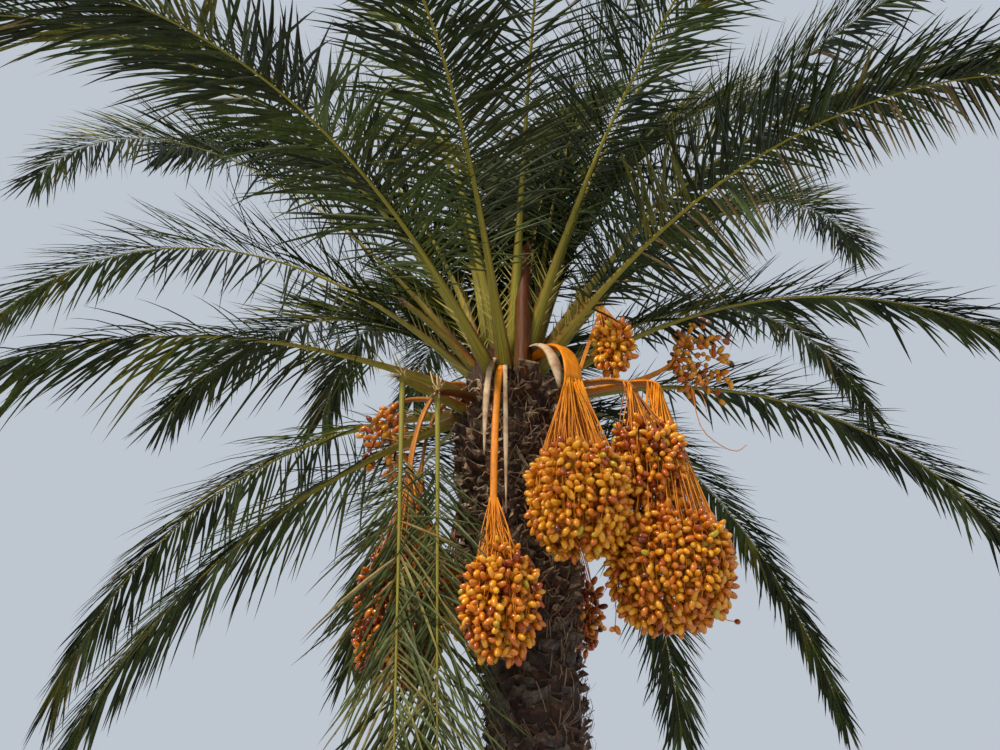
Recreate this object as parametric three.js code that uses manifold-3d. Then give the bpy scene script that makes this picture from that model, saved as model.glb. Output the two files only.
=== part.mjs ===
// A fruiting date palm, rooted in level ground. Millimetres, +Z up, +X to the right of the fruiting
// side and -Y towards it. The origin is the middle of the flat cut under the trunk.
// Each frond is a keeled rachis whose sides are drawn out into leaflets, so that it reads as one blade
// cut to the rib. The trunk is a lofted column whose rows of cut leaf bases stand out as blunt teeth.
import * as THREE from 'three';
import { mergeVertices } from 'three/addons/utils/BufferGeometryUtils.js';
import Module from 'manifold-3d';

const wasm = await Module();
wasm.setup();
const { Manifold, Mesh } = wasm;

// Driving dimensions
const GAP = 0.4; // between pieces that touch
const LEAF_GAP = 2; // kept by a leaflet or a date from every other piece
const BUTT = 60; // how far a petiole reaches into the bud before it is cut to fit
const SLIVER = 0.02; // edges shorter than this are closed up after a cut
const HUB = new THREE.Vector3(-280, 0, 3900); // where the crown's petioles aim
const TRUNK = {
  sides: 20,
  leanTo: -298, // the axis at the hub's height
  leanPower: 1.04, // over 1, the trunk leans more with height
  footRadius: 245,
  flareHeight: 150,
  waistRadius: 152,
  boleRadius: 188,
  boleStart: 2900,
  boleFull: 3250,
  footRings: [0, 60, 160, 300],
  scarPitch: 230,
  scarRelief: 9,
  bootPitch: 82,
  bootLength: 64,
  bootRelief: 17,
  hollowShare: 0.25, // relief left between two teeth of a row
  shoulder: 3770,
};
// The bud above the bole, a blunt cone that the petioles stand on, with heights from the hub. A frond
// with the lowest rise stands at its foot, and one that rises span degrees more at its top.
const BUD = {
  lowRadius: 205,
  lowHeight: -130,
  topRadius: 95,
  topHeight: 190,
  capRadius: 50,
  capHeight: 240,
  lowestRise: -10,
  riseSpan: 90,
};
const RACHIS = {
  baseHalfWidth: 38,
  slimHalfWidth: 12,
  slimming: 220, // distance over which the flared petiole base slims
  tipShare: 0.2, // of the width that is left at the tip
  taperPower: 1.6,
  keelShare: 0.95, // depth of the keel against the half width
  edgeHalf: 2.6, // half the thickness of the leaflet edge
  bendPower: 1.35, // over 1, the bend gathers towards the tip
  bareShares: [0, 0.05, 0.11], // stations of the leafless petiole
  lastShare: 0.97, // where the last leaflets sit
  steps: 96, // of the middle line
};
const SPLIT_BEND = 100; // a frond that bends this far or more is two pieces, parted at the bend
const LEAFLET = {
  length: 390,
  bareShare: 0.21, // share of the rachis below the first leaflet
  baseAngle: 68, // from the rachis, lowest and highest leaflets
  tipAngle: 24,
  rise: 24, // how far the two rows stand up from flat
  droop: 0.16,
};
// The broken fronds' leaflets are longer to the eye and hang closer to the rachis.
const HUNG = { length: 440, bareShare: 0.12, baseAngle: 56, tipAngle: 26, rise: 14, droop: 0.3 };
const HUNG_SLIMMED = 500; // the length of petiole lost at the break
const LEAFLET_SHAPE = {
  firstShare: 0.35, // length of the lowest leaflets
  fullBy: 0.22, // share of the leafy part where they reach full length
  tipLoss: 0.42, // share of length lost at the tip
  angleSpread: 8,
  riseSpread: 10,
  lengthSpread: 0.14,
};
const LEAFLET_TRIES = [1, 0.8, 0.62, 0.45]; // shares of its length that a leaflet tries in turn
const DATE = { length: 66, width: 38, tilt: 0.55 };
const STALK = { thickness: 14, steps: 6, inset: 40, shoulderShare: 0.6 };
// Strands start at staggered depths in the stalk's end, over a share of its width
const STRAND = { width: 12, depth: 10, stagger: 4, seatShare: 0.8, dateStep: 0.24 };
// Shares of a bunch's radii; a bunch with more than fineFrom dates has a rounder middle
const MASS = { coreShare: 0.86, dateShare: 0.84, strandShare: 0.7, fineFrom: 10 };
const STUB_SHARES = [0, 0.35, 0.7, 1]; // stations of a stub
const SPATHE = { thickness: 6, steps: 5 };

// Each frond leaves the bud at its azimuth (0 = +X, 90 = away from the fruiting side) and rise, and
// bends down by bend and sideways by sway on its way to the tip.
const FRONDS = [
  { name: 'frond_left_low', azimuth: 178, rise: -25, bend: 45, sway: -7, length: 1900, pairs: 12 },
  { name: 'frond_left_short', azimuth: 152, rise: 10, bend: 78, sway: -4, length: 2400, pairs: 13 },
  { name: 'frond_left_level', azimuth: 206, rise: 8, bend: 88, sway: -3, length: 2850, pairs: 15 },
  { name: 'frond_left_arching', azimuth: 178, rise: 44, bend: 70, sway: -30, length: 2600, pairs: 14 },
  { name: 'frond_left_curled', azimuth: 218, rise: 51, bend: 108, sway: -4, length: 2750, pairs: 14 },
  { name: 'frond_left_long', azimuth: 180, rise: 54, bend: 50, sway: -50, length: 3350, pairs: 15 },
  { name: 'frond_front_left', azimuth: 248, rise: 17, bend: 68, sway: -8, length: 2850, pairs: 15 },
  { name: 'frond_front', azimuth: 263, rise: 23, bend: 75, sway: -4, length: 2750, pairs: 15 },
  { name: 'frond_front_steep', azimuth: 276, rise: 62, bend: 50, length: 2700, pairs: 14 },
  { name: 'frond_left_steep', azimuth: 215, rise: 78, bend: 38, length: 2700, pairs: 14 },
  { name: 'frond_right_steep', azimuth: 327, rise: 71, bend: 55, sway: 3, length: 2800, pairs: 14 },
  { name: 'frond_right_raised', azimuth: 350, rise: 58, bend: 34, length: 2800, pairs: 14 },
  { name: 'frond_right_near_low', azimuth: 313, rise: 32, bend: 100, sway: 2, length: 2800, pairs: 15 },
  { name: 'frond_right_near_high', azimuth: 330, rise: 52, bend: 106, sway: 4, length: 2750, pairs: 14 },
  { name: 'frond_right_level', azimuth: 357, rise: 33, bend: 112, sway: 1, length: 2750, pairs: 14 },
  { name: 'frond_right_drooping', azimuth: 17, rise: 20, bend: 105, sway: -4, length: 2800, pairs: 14 },
  { name: 'frond_right_far', azimuth: 33, rise: 45, bend: 67, sway: 23, length: 2950, pairs: 13 },
  { name: 'frond_right_far_high', azimuth: 21, rise: 56, bend: 52, sway: 40, length: 3200, pairs: 13 },
  { name: 'frond_right_far_arching', azimuth: 31, rise: 73, bend: 62, sway: 8, length: 3500, pairs: 13 },
  { name: 'frond_back_right_long', azimuth: 59, rise: 26, bend: 95, sway: -16, length: 3300, pairs: 14 },
  { name: 'frond_back_right_low', azimuth: 67, rise: 19, bend: 81, sway: 8, length: 2900, pairs: 13 },
  { name: 'frond_back_left_curled', azimuth: 124, rise: 61, bend: 100, sway: -10, length: 2350, pairs: 12 },
  { name: 'frond_back_low', azimuth: 90, rise: 12, bend: 78, length: 2500, pairs: 12 },
  { name: 'frond_back_left_low', azimuth: 110, rise: 22, bend: 76, length: 2500, pairs: 12 },
  { name: 'frond_back_raised', azimuth: 82, rise: 46, bend: 68, length: 2600, pairs: 12 },
  { name: 'frond_back_left_raised', azimuth: 104, rise: 56, bend: 72, length: 2600, pairs: 12 },
  { name: 'frond_back_left_level', azimuth: 141, rise: 48, bend: 80, length: 2400, pairs: 12 },
  { name: 'frond_back_left_steep', azimuth: 155, rise: 68, bend: 60, length: 2700, pairs: 12 },
  { name: 'frond_back_steep', azimuth: 88, rise: 76, bend: 48, length: 2700, pairs: 12 },
  { name: 'frond_back_right_steep', azimuth: 60, rise: 82, bend: 44, length: 2700, pairs: 12 },
  { name: 'frond_left_upright', azimuth: 186, rise: 72, bend: 74, length: 2600, pairs: 12 },
  { name: 'frond_front_left_steep', azimuth: 242, rise: 66, bend: 58, length: 2600, pairs: 12 },
  { name: 'frond_front_right_steep', azimuth: 300, rise: 54, bend: 70, length: 2600, pairs: 12 },
  { name: 'frond_right_upright', azimuth: 340, rise: 84, bend: 42, length: 2700, pairs: 12 },
];

// The two broken fronds hang from the ends of their stubs, cut to fit round each stub's keel.
const HUNG_FRONDS = [
  {
    name: 'frond_hanging_left', start: [-383, -305, -119],
    azimuth: 75, rise: -86.5, length: 2000, pairs: 16,
  },
  {
    name: 'frond_hanging_right', start: [-256, -328, -186],
    azimuth: 72, rise: -86, length: 1750, pairs: 14,
  },
];
// Cut or broken petioles, from the bud to their blunt ends; width and endWidth are full widths, and
// start is from the hub where a stub doesn't stand where a frond of its rise would
const STUBS = [
  {
    name: 'petiole_stub_centre', start: [46, -168, -40],
    azimuth: 275, rise: 82, bend: 0, length: 520, width: 72, endWidth: 56,
  },
  { name: 'petiole_stub_left_high', azimuth: 196, rise: 46, bend: 12, length: 370, width: 66, endWidth: 28 },
  {
    name: 'petiole_stub_left', start: [-170, -115, -150],
    azimuth: 222, rise: 4, bend: 0, length: 300, width: 60, endWidth: 40,
  },
  { name: 'petiole_stub_low', azimuth: 232, rise: -10, bend: 20, length: 235, width: 52, endWidth: 38 },
];
// Bunches of dates: the flat stalk leaves the bud at azimuth and height, arches up and out, and comes
// down to fork, where the strands spread to the fruit around middle. Places are from the hub.
const BUNCHES = [
  {
    name: 'date_bunch_front', azimuth: 303, height: 20, arch: 80, drop: 150, strap: 72,
    fork: [222, -318, -150], middle: [222, -352, -630], radii: [168, 148, 200], dates: 16, strands: 5,
  },
  {
    name: 'date_bunch_front_left', azimuth: 262, height: -10, arch: 70, drop: 420, strap: 37,
    fork: [-66, -318, -640], middle: [-36, -330, -962], radii: [124, 116, 206], dates: 13, strands: 4,
  },
  {
    name: 'date_bunch_right_upper', azimuth: 326, height: -75, arch: 5, drop: 60, strap: 44,
    fork: [440, -285, -178], middle: [468, -274, -460], radii: [132, 100, 185], dates: 9, strands: 4,
  },
  {
    name: 'date_bunch_right_lower', azimuth: 338, height: -85, arch: 0, drop: 70, strap: 50,
    fork: [540, -238, -150], middle: [527, -235, -818], radii: [208, 180, 220], dates: 19, strands: 5,
  },
  {
    name: 'date_bunch_right_top', azimuth: 334, height: 80, arch: 260, drop: 60, strap: 26,
    fork: [345, -180, 250], middle: [384, -182, 62], radii: [72, 62, 120], dates: 9, strands: 3,
  },
  {
    name: 'date_bunch_left', azimuth: 208, height: -60, arch: 110, drop: 260, strap: 44,
    fork: [-362, -140, -500], middle: [-372, -90, -935], radii: [155, 105, 265], dates: 12, strands: 4,
  },
  {
    name: 'date_bunch_left_inner', azimuth: 190, height: -70, arch: 90, drop: 180, strap: 40,
    fork: [-330, 70, -330], middle: [-345, 85, -650], radii: [95, 95, 150], dates: 7, strands: 3,
  },
  {
    name: 'date_bunch_back_right', azimuth: 62, height: -60, arch: 80, drop: 260, strap: 40,
    fork: [215, 262, -440], middle: [256, 272, -806], radii: [88, 85, 158], dates: 7, strands: 3,
  },
  {
    name: 'date_bunch_back_left', azimuth: 128, height: -60, arch: 90, drop: 200, strap: 44,
    fork: [-170, 300, -330], middle: [-185, 330, -700], radii: [120, 115, 170], dates: 9, strands: 4,
  },
];
// Sparse bunches have no solid middle: their strands end in a few dates each.
const SPARSE_BUNCHES = [
  {
    name: 'date_bunch_far_left', azimuth: 170, height: -80, arch: 90, drop: 40, strap: 24,
    fork: [-440, 60, -60], middle: [-480, 90, -215], radii: [90, 70, 120], strands: 5, perStrand: 2,
  },
  {
    name: 'date_bunch_far_right', azimuth: 12, height: -40, arch: 60, drop: -60, strap: 24,
    fork: [640, 40, 160], middle: [765, 90, 175], radii: [120, 80, 190], strands: 7, perStrand: 2,
  },
];
// Dry sheaths that once wrapped the fruit stalks
const SPATHES = [
  { name: 'spathe_left', azimuth: 255, height: 10, arch: 60, drop: 300, width: 24, end: [-92, -318, -440] },
  { name: 'spathe_right', azimuth: 298, height: 62, arch: 50, drop: 120, width: 52, end: [168, -340, -190] },
];

const COLOURS = {
  trunk: 0x6b5f52, frond: 0x5d6b3c, hung: 0x76804f, stub: 0x8a7a3c, fruit: 0xd98420, spathe: 0xc9b48e,
};

const UP = new THREE.Vector3(0, 0, 1);
const toRadians = THREE.MathUtils.degToRad;
const mix = THREE.MathUtils.lerp;
const limit = (value) => THREE.MathUtils.clamp(value, 0, 1);
const fromHub = ([x, y, z]) => new THREE.Vector3(x, y, z).add(HUB);

// A repeatable spread of values between 0 and 1
function scatter(seed) {
  const value = Math.sin(seed * 12.9898) * 43758.5453;
  return value - Math.floor(value);
}

// One closed skin over a row of rings with equal counts, wound leftwards as seen from the last ring.
// outgrowths names, by ring and side, the point that a side face is drawn out to; tip closes the end.
function loft(rings, { tip = null, outgrowths = [] } = {}) {
  const count = rings[0].length;
  const points = rings.flat();
  const faces = [];
  const add = (a, b, c) => faces.push(a, b, c);
  const drawnOut = new Map(outgrowths.map((growth) => [`${growth.ring} ${growth.side}`, growth.tip]));
  for (let ring = 0; ring < rings.length - 1; ring++) {
    for (let side = 0; side < count; side++) {
      const next = (side + 1) % count;
      const low = ring * count;
      const high = low + count;
      const quad = [low + side, low + next, high + next, high + side];
      const apex = drawnOut.get(`${ring} ${side}`);
      if (apex) {
        points.push(apex);
        quad.forEach((corner, i) => add(corner, quad[(i + 1) % 4], points.length - 1));
      } else {
        add(quad[0], quad[1], quad[2]);
        add(quad[0], quad[2], quad[3]);
      }
    }
  }
  for (let side = 1; side < count - 1; side++) add(0, side + 1, side);
  const last = (rings.length - 1) * count;
  if (tip) {
    points.push(tip);
    const apex = points.length - 1;
    for (let side = 0; side < count; side++) add(last + side, last + ((side + 1) % count), apex);
  } else {
    for (let side = 1; side < count - 1; side++) add(last, last + side, last + side + 1);
  }
  const geometry = new THREE.BufferGeometry().setFromPoints(points);
  geometry.setIndex(faces);
  return geometry;
}

function toSolid(geometry) {
  const bare = geometry.clone();
  bare.deleteAttribute('normal');
  bare.deleteAttribute('uv');
  const welded = mergeVertices(bare);
  return new Manifold(new Mesh({
    numProp: 3,
    vertProperties: Float32Array.from(welded.attributes.position.array),
    triVerts: Uint32Array.from(welded.index.array),
  }));
}

function toGeometry(solid) {
  const mesh = solid.getMesh();
  const geometry = new THREE.BufferGeometry();
  geometry.setAttribute('position', new THREE.BufferAttribute(mesh.vertProperties, 3));
  geometry.setIndex(new THREE.BufferAttribute(mesh.triVerts, 1));
  return geometry;
}

// The piece's largest body; what a cut leaves loose is dropped
function largestBody(solid) {
  return solid.decompose().reduce((a, b) => (b.volume() > a.volume() ? b : a));
}

const tree = new THREE.Group();

function addPiece(name, solid, colour) {
  const material = new THREE.MeshStandardMaterial({ color: colour, roughness: 0.75, metalness: 0 });
  const mesh = new THREE.Mesh(toGeometry(largestBody(solid.simplify(SLIVER))), material);
  mesh.name = name;
  tree.add(mesh);
}

// Trunk
function trunkRadius(z) {
  if (z >= TRUNK.shoulder) {
    const fromHubZ = z - HUB.z;
    const share = limit((fromHubZ - BUD.lowHeight) / (BUD.topHeight - BUD.lowHeight));
    if (fromHubZ > BUD.topHeight) return BUD.capRadius;
    return mix(BUD.lowRadius, BUD.topRadius, share);
  }
  const flare = (TRUNK.footRadius - TRUNK.waistRadius) * Math.exp(-z / TRUNK.flareHeight);
  const bole = THREE.MathUtils.smoothstep(z, TRUNK.boleStart, TRUNK.boleFull);
  return TRUNK.waistRadius + flare + (TRUNK.boleRadius - TRUNK.waistRadius) * bole;
}

function trunkRing(z, relief, row, grow) {
  const lean = TRUNK.leanTo * Math.pow(z / HUB.z, TRUNK.leanPower);
  const base = trunkRadius(z) + grow;
  return Array.from({ length: TRUNK.sides }, (_, side) => {
    const radius = base + ((side + row) % 2 ? relief : relief * TRUNK.hollowShare);
    const angle = (side / TRUNK.sides) * 2 * Math.PI;
    return new THREE.Vector3(lean + radius * Math.cos(angle), radius * Math.sin(angle), z);
  });
}

function trunkSolid(grow = 0) {
  const rings = TRUNK.footRings.map((z) => trunkRing(z, 0, 0, grow));
  let row = 0;
  for (let z = TRUNK.footRings.at(-1) + TRUNK.scarPitch; z < TRUNK.boleStart; z += TRUNK.scarPitch) {
    rings.push(trunkRing(z, TRUNK.scarRelief, row++, grow));
  }
  for (let z = TRUNK.boleStart; z + TRUNK.bootPitch < TRUNK.shoulder; z += TRUNK.bootPitch) {
    rings.push(trunkRing(z, 0, row, grow));
    rings.push(trunkRing(z + TRUNK.bootLength, TRUNK.bootRelief, row++, grow));
  }
  rings.push(trunkRing(TRUNK.shoulder, 0, 0, grow));
  rings.push(trunkRing(HUB.z + BUD.topHeight, 0, 0, grow));
  rings.push(trunkRing(HUB.z + BUD.capHeight, 0, 0, grow));
  return toSolid(loft(rings));
}

// Fronds
function budPoint(azimuth, height) {
  const share = limit((height - BUD.lowHeight) / (BUD.topHeight - BUD.lowHeight));
  const radius = mix(BUD.lowRadius, BUD.topRadius, share);
  return fromHub([radius * Math.cos(azimuth), radius * Math.sin(azimuth), height]);
}

// The middle line of a petiole or frond: place and frame at each share of its length
function rachisLine({ start, azimuth, rise, bend = 0, sway = 0, length }) {
  const { steps } = RACHIS;
  const turn = toRadians(azimuth);
  const perch = limit((rise - BUD.lowestRise) / BUD.riseSpan);
  const height = mix(BUD.lowHeight, BUD.topHeight, perch);
  const place = start ? fromHub(start) : budPoint(turn, height);
  const aim = (share) => {
    const curl = Math.pow(share, RACHIS.bendPower);
    const elevation = toRadians(rise - bend * curl);
    const heading = toRadians(azimuth + sway * curl);
    const along = new THREE.Vector3(
      Math.cos(elevation) * Math.cos(heading), Math.cos(elevation) * Math.sin(heading), Math.sin(elevation),
    );
    const left = new THREE.Vector3(-Math.sin(heading), Math.cos(heading), 0);
    return { along, left, over: along.clone().cross(left) };
  };
  const places = [place.clone()];
  for (let i = 0; i < steps; i++) {
    const step = aim((i + 0.5) / steps).along.multiplyScalar(length / steps);
    places.push(places[i].clone().add(step));
  }
  return (share) => {
    const at = limit(share) * steps;
    const low = Math.min(Math.floor(at), steps - 1);
    const point = places[low].clone().lerp(places[low + 1], at - low);
    return { point, ...aim(share) };
  };
}

function rachisHalfWidth(distance, share) {
  const flared = (RACHIS.baseHalfWidth - RACHIS.slimHalfWidth) * Math.exp(-distance / RACHIS.slimming);
  return (RACHIS.slimHalfWidth + flared) * (1 - (1 - RACHIS.tipShare) * Math.pow(share, RACHIS.taperPower));
}

// Flat on top with a keel below; sides 0 and 2 are the thin edges that the leaflets grow from.
function rachisRing({ point, left, over }, halfWidth, grow = 0) {
  const width = halfWidth + grow;
  const edge = RACHIS.edgeHalf + grow;
  const keel = halfWidth * RACHIS.keelShare + grow;
  return [[width, -edge], [width, edge], [-width, edge], [-width, -edge], [0, -keel]].map(
    ([across, up]) => point.clone().addScaledVector(left, across).addScaledVector(over, up),
  );
}

// Set back into the bud, so that the cut by the bud leaves a fitted butt
function setBack(frame, distance) {
  return { ...frame, point: frame.point.clone().addScaledVector(frame.along, -distance) };
}

function buildRachis(row) {
  const line = rachisLine(row);
  const habit = row.start ? HUNG : LEAFLET;
  const shares = row.start ? [0] : [...RACHIS.bareShares];
  for (let i = 0; i <= row.pairs; i++) shares.push(mix(habit.bareShare, RACHIS.lastShare, i / row.pairs));
  const frames = shares.map((share) => line(share));
  const lost = row.start ? HUNG_SLIMMED : 0;
  const widths = shares.map((share) => rachisHalfWidth(lost + share * row.length, share));
  if (!row.start) frames[0] = setBack(frames[0], BUTT);
  const rings = frames.map((frame, i) => rachisRing(frame, widths[i]));
  const grown = frames.map((frame, i) => rachisRing(i === 0 ? setBack(frame, GAP) : frame, widths[i], GAP));
  const end = line(1);
  return {
    row,
    habit,
    frames,
    shares,
    rings,
    firstLeafRing: shares.length - row.pairs - 1,
    tip: end.point,
    solid: toSolid(loft(rings, { tip: end.point })),
    clearance: toSolid(loft(grown, { tip: end.point.clone().addScaledVector(end.along, 2 * GAP) })),
    outgrowths: [],
  };
}

// The point that one leaflet reaches for, at a share of its full length
function leafletTip(rachis, ring, sign, share) {
  const { habit, shares, row } = rachis;
  const shape = LEAFLET_SHAPE;
  const frame = rachis.frames[ring];
  const next = rachis.frames[ring + 1];
  const along = (shares[ring] - habit.bareShare) / (1 - habit.bareShare);
  const seed = ring * 7 + row.length + row.azimuth + (sign > 0 ? 3 : 0);
  const spread = (part) => scatter(seed + part) - 0.5;
  const angle = toRadians(mix(habit.baseAngle, habit.tipAngle, along) + shape.angleSpread * spread(0));
  const rise = toRadians(habit.rise + shape.riseSpread * spread(1));
  const grown = limit(shape.firstShare + along / shape.fullBy) * (1 - shape.tipLoss * along * along);
  const length = habit.length * grown * share * (1 + shape.lengthSpread * spread(2));
  const aim = frame.along.clone().multiplyScalar(Math.cos(angle));
  aim.addScaledVector(frame.left, sign * Math.sin(angle) * Math.cos(rise));
  aim.addScaledVector(frame.over, Math.sin(angle) * Math.sin(rise));
  aim.addScaledVector(UP, -habit.droop).normalize();
  return frame.point.clone().lerp(next.point, 0.5).addScaledVector(aim, length);
}

// A leaflet by itself, as a slim pyramid on the rachis edge, to test its room
function leafletSolid(rachis, ring, side, tip) {
  const [near, far] = rachis.rings.slice(ring, ring + 2);
  const points = [near[side], near[side + 1], far[side + 1], far[side], tip];
  const geometry = new THREE.BufferGeometry().setFromPoints(points);
  geometry.setIndex([0, 1, 4, 1, 2, 4, 2, 3, 4, 3, 0, 4, 0, 2, 1, 0, 3, 2]);
  return toSolid(geometry);
}

// Room in the crown: every body already set down, with its bounding box and owner
const taken = [];

function claim(solid, owner) {
  const box = solid.boundingBox();
  taken.push({ solid, owner, box });
}

function isFree(solid, owner) {
  const { min, max } = solid.boundingBox();
  return taken.every(({ solid: other, owner: holder, box }) => {
    if (holder === owner) return true;
    const apart = [0, 1, 2].some((axis) => (
      min[axis] - LEAF_GAP > box.max[axis] || max[axis] + LEAF_GAP < box.min[axis]
    ));
    return apart || other.minGap(solid, LEAF_GAP) >= LEAF_GAP;
  });
}

function growLeaflets(rachises) {
  const longest = Math.max(...rachises.map((rachis) => rachis.row.pairs));
  for (let step = 0; step < longest; step++) {
    for (const rachis of rachises.filter((candidate) => step < candidate.row.pairs)) {
      const ring = rachis.firstLeafRing + step;
      for (const [side, sign] of [[0, 1], [2, -1]]) {
        for (const share of LEAFLET_TRIES) {
          const tip = leafletTip(rachis, ring, sign, share);
          const leaflet = leafletSolid(rachis, ring, side, tip);
          if (isFree(leaflet, rachis.row.name)) {
            claim(leaflet, rachis.row.name);
            rachis.outgrowths.push({ ring, side, tip });
            break;
          }
        }
      }
    }
  }
}

// The whole frond, or its two parts either side of the bend
function frondParts(rachis) {
  const { row, rings, outgrowths, tip } = rachis;
  const whole = row.start || row.bend < SPLIT_BEND;
  if (whole) return [{ name: row.name, solid: toSolid(loft(rings, { tip, outgrowths })) }];
  const bend = Math.round(rings.length * 0.5);
  const parted = rings[bend].map((corner) => corner.clone().addScaledVector(rachis.frames[bend].along, GAP));
  const near = outgrowths.filter((growth) => growth.ring < bend);
  const far = outgrowths.filter((growth) => growth.ring >= bend)
    .map((growth) => ({ ...growth, ring: growth.ring - bend }));
  const base = loft(rings.slice(0, bend + 1), { outgrowths: near });
  const end = loft([parted, ...rings.slice(bend + 1)], { tip, outgrowths: far });
  return [
    { name: `${row.name}_base`, solid: toSolid(base) },
    { name: `${row.name}_tip`, solid: toSolid(end) },
  ];
}

// Stubs
function stubSolids(row) {
  const line = rachisLine(row);
  const build = (grow) => {
    const rings = STUB_SHARES.map((share) => {
      const shift = { 0: BUTT + grow, 1: -2 * grow }[share] ?? 0;
      const width = mix(row.width, row.endWidth, Math.sqrt(share));
      return rachisRing(setBack(line(share), shift), width / 2, grow);
    });
    return toSolid(loft(rings));
  };
  return { solid: build(0), clearance: build(GAP) };
}

// Fruit stalks, strands and dates
function stalkCurve({ azimuth, height, arch, drop }, end) {
  const turn = toRadians(azimuth);
  const start = budPoint(turn, height);
  const inward = new THREE.Vector3(Math.cos(turn), Math.sin(turn), 0).multiplyScalar(-STALK.inset);
  const shoulder = start.clone().lerp(end, STALK.shoulderShare).setZ(start.z + arch);
  const above = end.clone().setZ(end.z + drop);
  return new THREE.CubicBezierCurve3(start.add(inward), shoulder, above, end);
}

// The level direction square to an azimuth, along which a strap is wide
function acrossOf(azimuth) {
  const turn = toRadians(azimuth);
  return new THREE.Vector3(-Math.sin(turn), Math.cos(turn), 0);
}

function strapRings(curve, azimuth, width, { thickness, steps }, grow = 0) {
  const across = acrossOf(azimuth);
  return Array.from({ length: steps + 1 }, (_, i) => {
    const along = curve.getTangent(i / steps);
    const over = along.clone().cross(across).normalize();
    const corners = [[1, -1], [1, 1], [-1, 1], [-1, -1]];
    return corners.map(([a, b]) => curve.getPoint(i / steps)
      .addScaledVector(across, a * (width / 2 + grow))
      .addScaledVector(over, b * (thickness / 2 + grow)));
  });
}

function strandSolid(from, to, width) {
  const along = to.clone().sub(from).normalize();
  const across = along.clone().cross(UP).normalize();
  const over = along.clone().cross(across);
  const ring = (point) => [0, 1, 2].map((corner) => {
    const angle = (corner / 3) * 2 * Math.PI;
    return point.clone()
      .addScaledVector(across, (width / 2) * Math.cos(angle))
      .addScaledVector(over, (width / 2) * Math.sin(angle));
  });
  return toSolid(loft([ring(from), ring(to)]));
}

function dateSolid(place, seed) {
  const geometry = new THREE.OctahedronGeometry(1, 0);
  const lean = (part) => 2 * DATE.tilt * (scatter(seed + part) - 0.5);
  const tilt = new THREE.Euler(lean(0), lean(1), 2 * Math.PI * scatter(seed + 2));
  const scale = new THREE.Vector3(DATE.width / 2, DATE.width / 2, DATE.length / 2);
  const turned = new THREE.Matrix4().compose(place, new THREE.Quaternion().setFromEuler(tilt), scale);
  return toSolid(geometry.applyMatrix4(turned));
}

// Even directions over a sphere, from the top down
function sphereDirection(index, count) {
  const z = 1 - (2 * (index + 0.5)) / count;
  const angle = index * Math.PI * (3 - Math.sqrt(5));
  const flat = Math.sqrt(1 - z * z);
  return new THREE.Vector3(flat * Math.cos(angle), flat * Math.sin(angle), z);
}

// A smaller solid middle with dates standing out of it
function massSolids(row, middle, radii) {
  const core = new THREE.IcosahedronGeometry(1, row.dates > MASS.fineFrom ? 1 : 0);
  const size = radii.clone().multiplyScalar(MASS.coreShare);
  core.applyMatrix4(new THREE.Matrix4().compose(middle, new THREE.Quaternion(), size));
  const dates = Array.from({ length: row.dates }, (_, i) => {
    const seat = sphereDirection(i, row.dates).multiply(radii).multiplyScalar(MASS.dateShare).add(middle);
    return dateSolid(seat, i + row.azimuth);
  });
  return [toSolid(core), ...dates.filter((date) => isFree(date, row.name))];
}

// Strands fan out from the fork, into the middle or to dates of their own
function strandSolids(row, fork, middle, radii) {
  const solids = [];
  for (let i = 0; i < row.strands; i++) {
    const reach = row.dates
      ? sphereDirection(i, row.strands * 2).multiply(radii).multiplyScalar(MASS.strandShare)
      : sphereDirection(i, row.strands).multiply(radii);
    reach.add(middle);
    const seat = row.strap * STRAND.seatShare * (i / (row.strands - 1) - 0.5);
    const root = fork.clone().addScaledVector(acrossOf(row.azimuth), seat);
    root.z += STRAND.depth + STRAND.stagger * (i % 3);
    const strand = strandSolid(root, reach, STRAND.width);
    if (!isFree(strand, row.name)) continue;
    solids.push(strand);
    for (let j = 0; j < (row.perStrand ?? 0); j++) {
      const date = dateSolid(root.clone().lerp(reach, 1 - j * STRAND.dateStep), i * 5 + j);
      if (isFree(date, row.name)) solids.push(date);
    }
  }
  return solids;
}

function bunchSolid(row, cutters) {
  const fork = fromHub(row.fork);
  const middle = fromHub(row.middle);
  const radii = new THREE.Vector3(...row.radii);
  const curve = stalkCurve(row, fork);
  const strap = (grow) => toSolid(loft(strapRings(curve, row.azimuth, row.strap, STALK, grow)));
  const pieces = [largestBody(strap(0).subtract(Manifold.union(cutters)))];
  if (row.dates) pieces.push(...massSolids(row, middle, radii));
  pieces.push(...strandSolids(row, fork, middle, radii));
  return { solid: largestBody(Manifold.union(pieces)), clearance: strap(GAP) };
}

function spatheSolid(row, cutters) {
  const rings = strapRings(stalkCurve(row, fromHub(row.end)), row.azimuth, row.width, SPATHE);
  return largestBody(toSolid(loft(rings)).subtract(Manifold.union(cutters)));
}

// Assembly: trunk, petioles from the lowest up, fruit, then leaflets wherever there is room
const trunk = trunkSolid();
claim(trunk, 'trunk');
addPiece('trunk', trunk, COLOURS.trunk);

const stubs = STUBS.map((row) => ({ row, ...stubSolids(row) }));
const rachises = FRONDS.map(buildRachis);
const hung = HUNG_FRONDS.map(buildRachis);
const standing = [...stubs, ...rachises].sort((a, b) => a.row.rise - b.row.rise);
const cutters = [trunkSolid(GAP)];
for (const limb of [...standing, ...hung]) {
  limb.cutters = [...cutters];
  cutters.push(limb.clearance);
  claim(limb.solid, limb.row.name);
}
for (const stub of stubs) {
  addPiece(stub.row.name, stub.solid.subtract(Manifold.union(stub.cutters)), COLOURS.stub);
}

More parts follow.
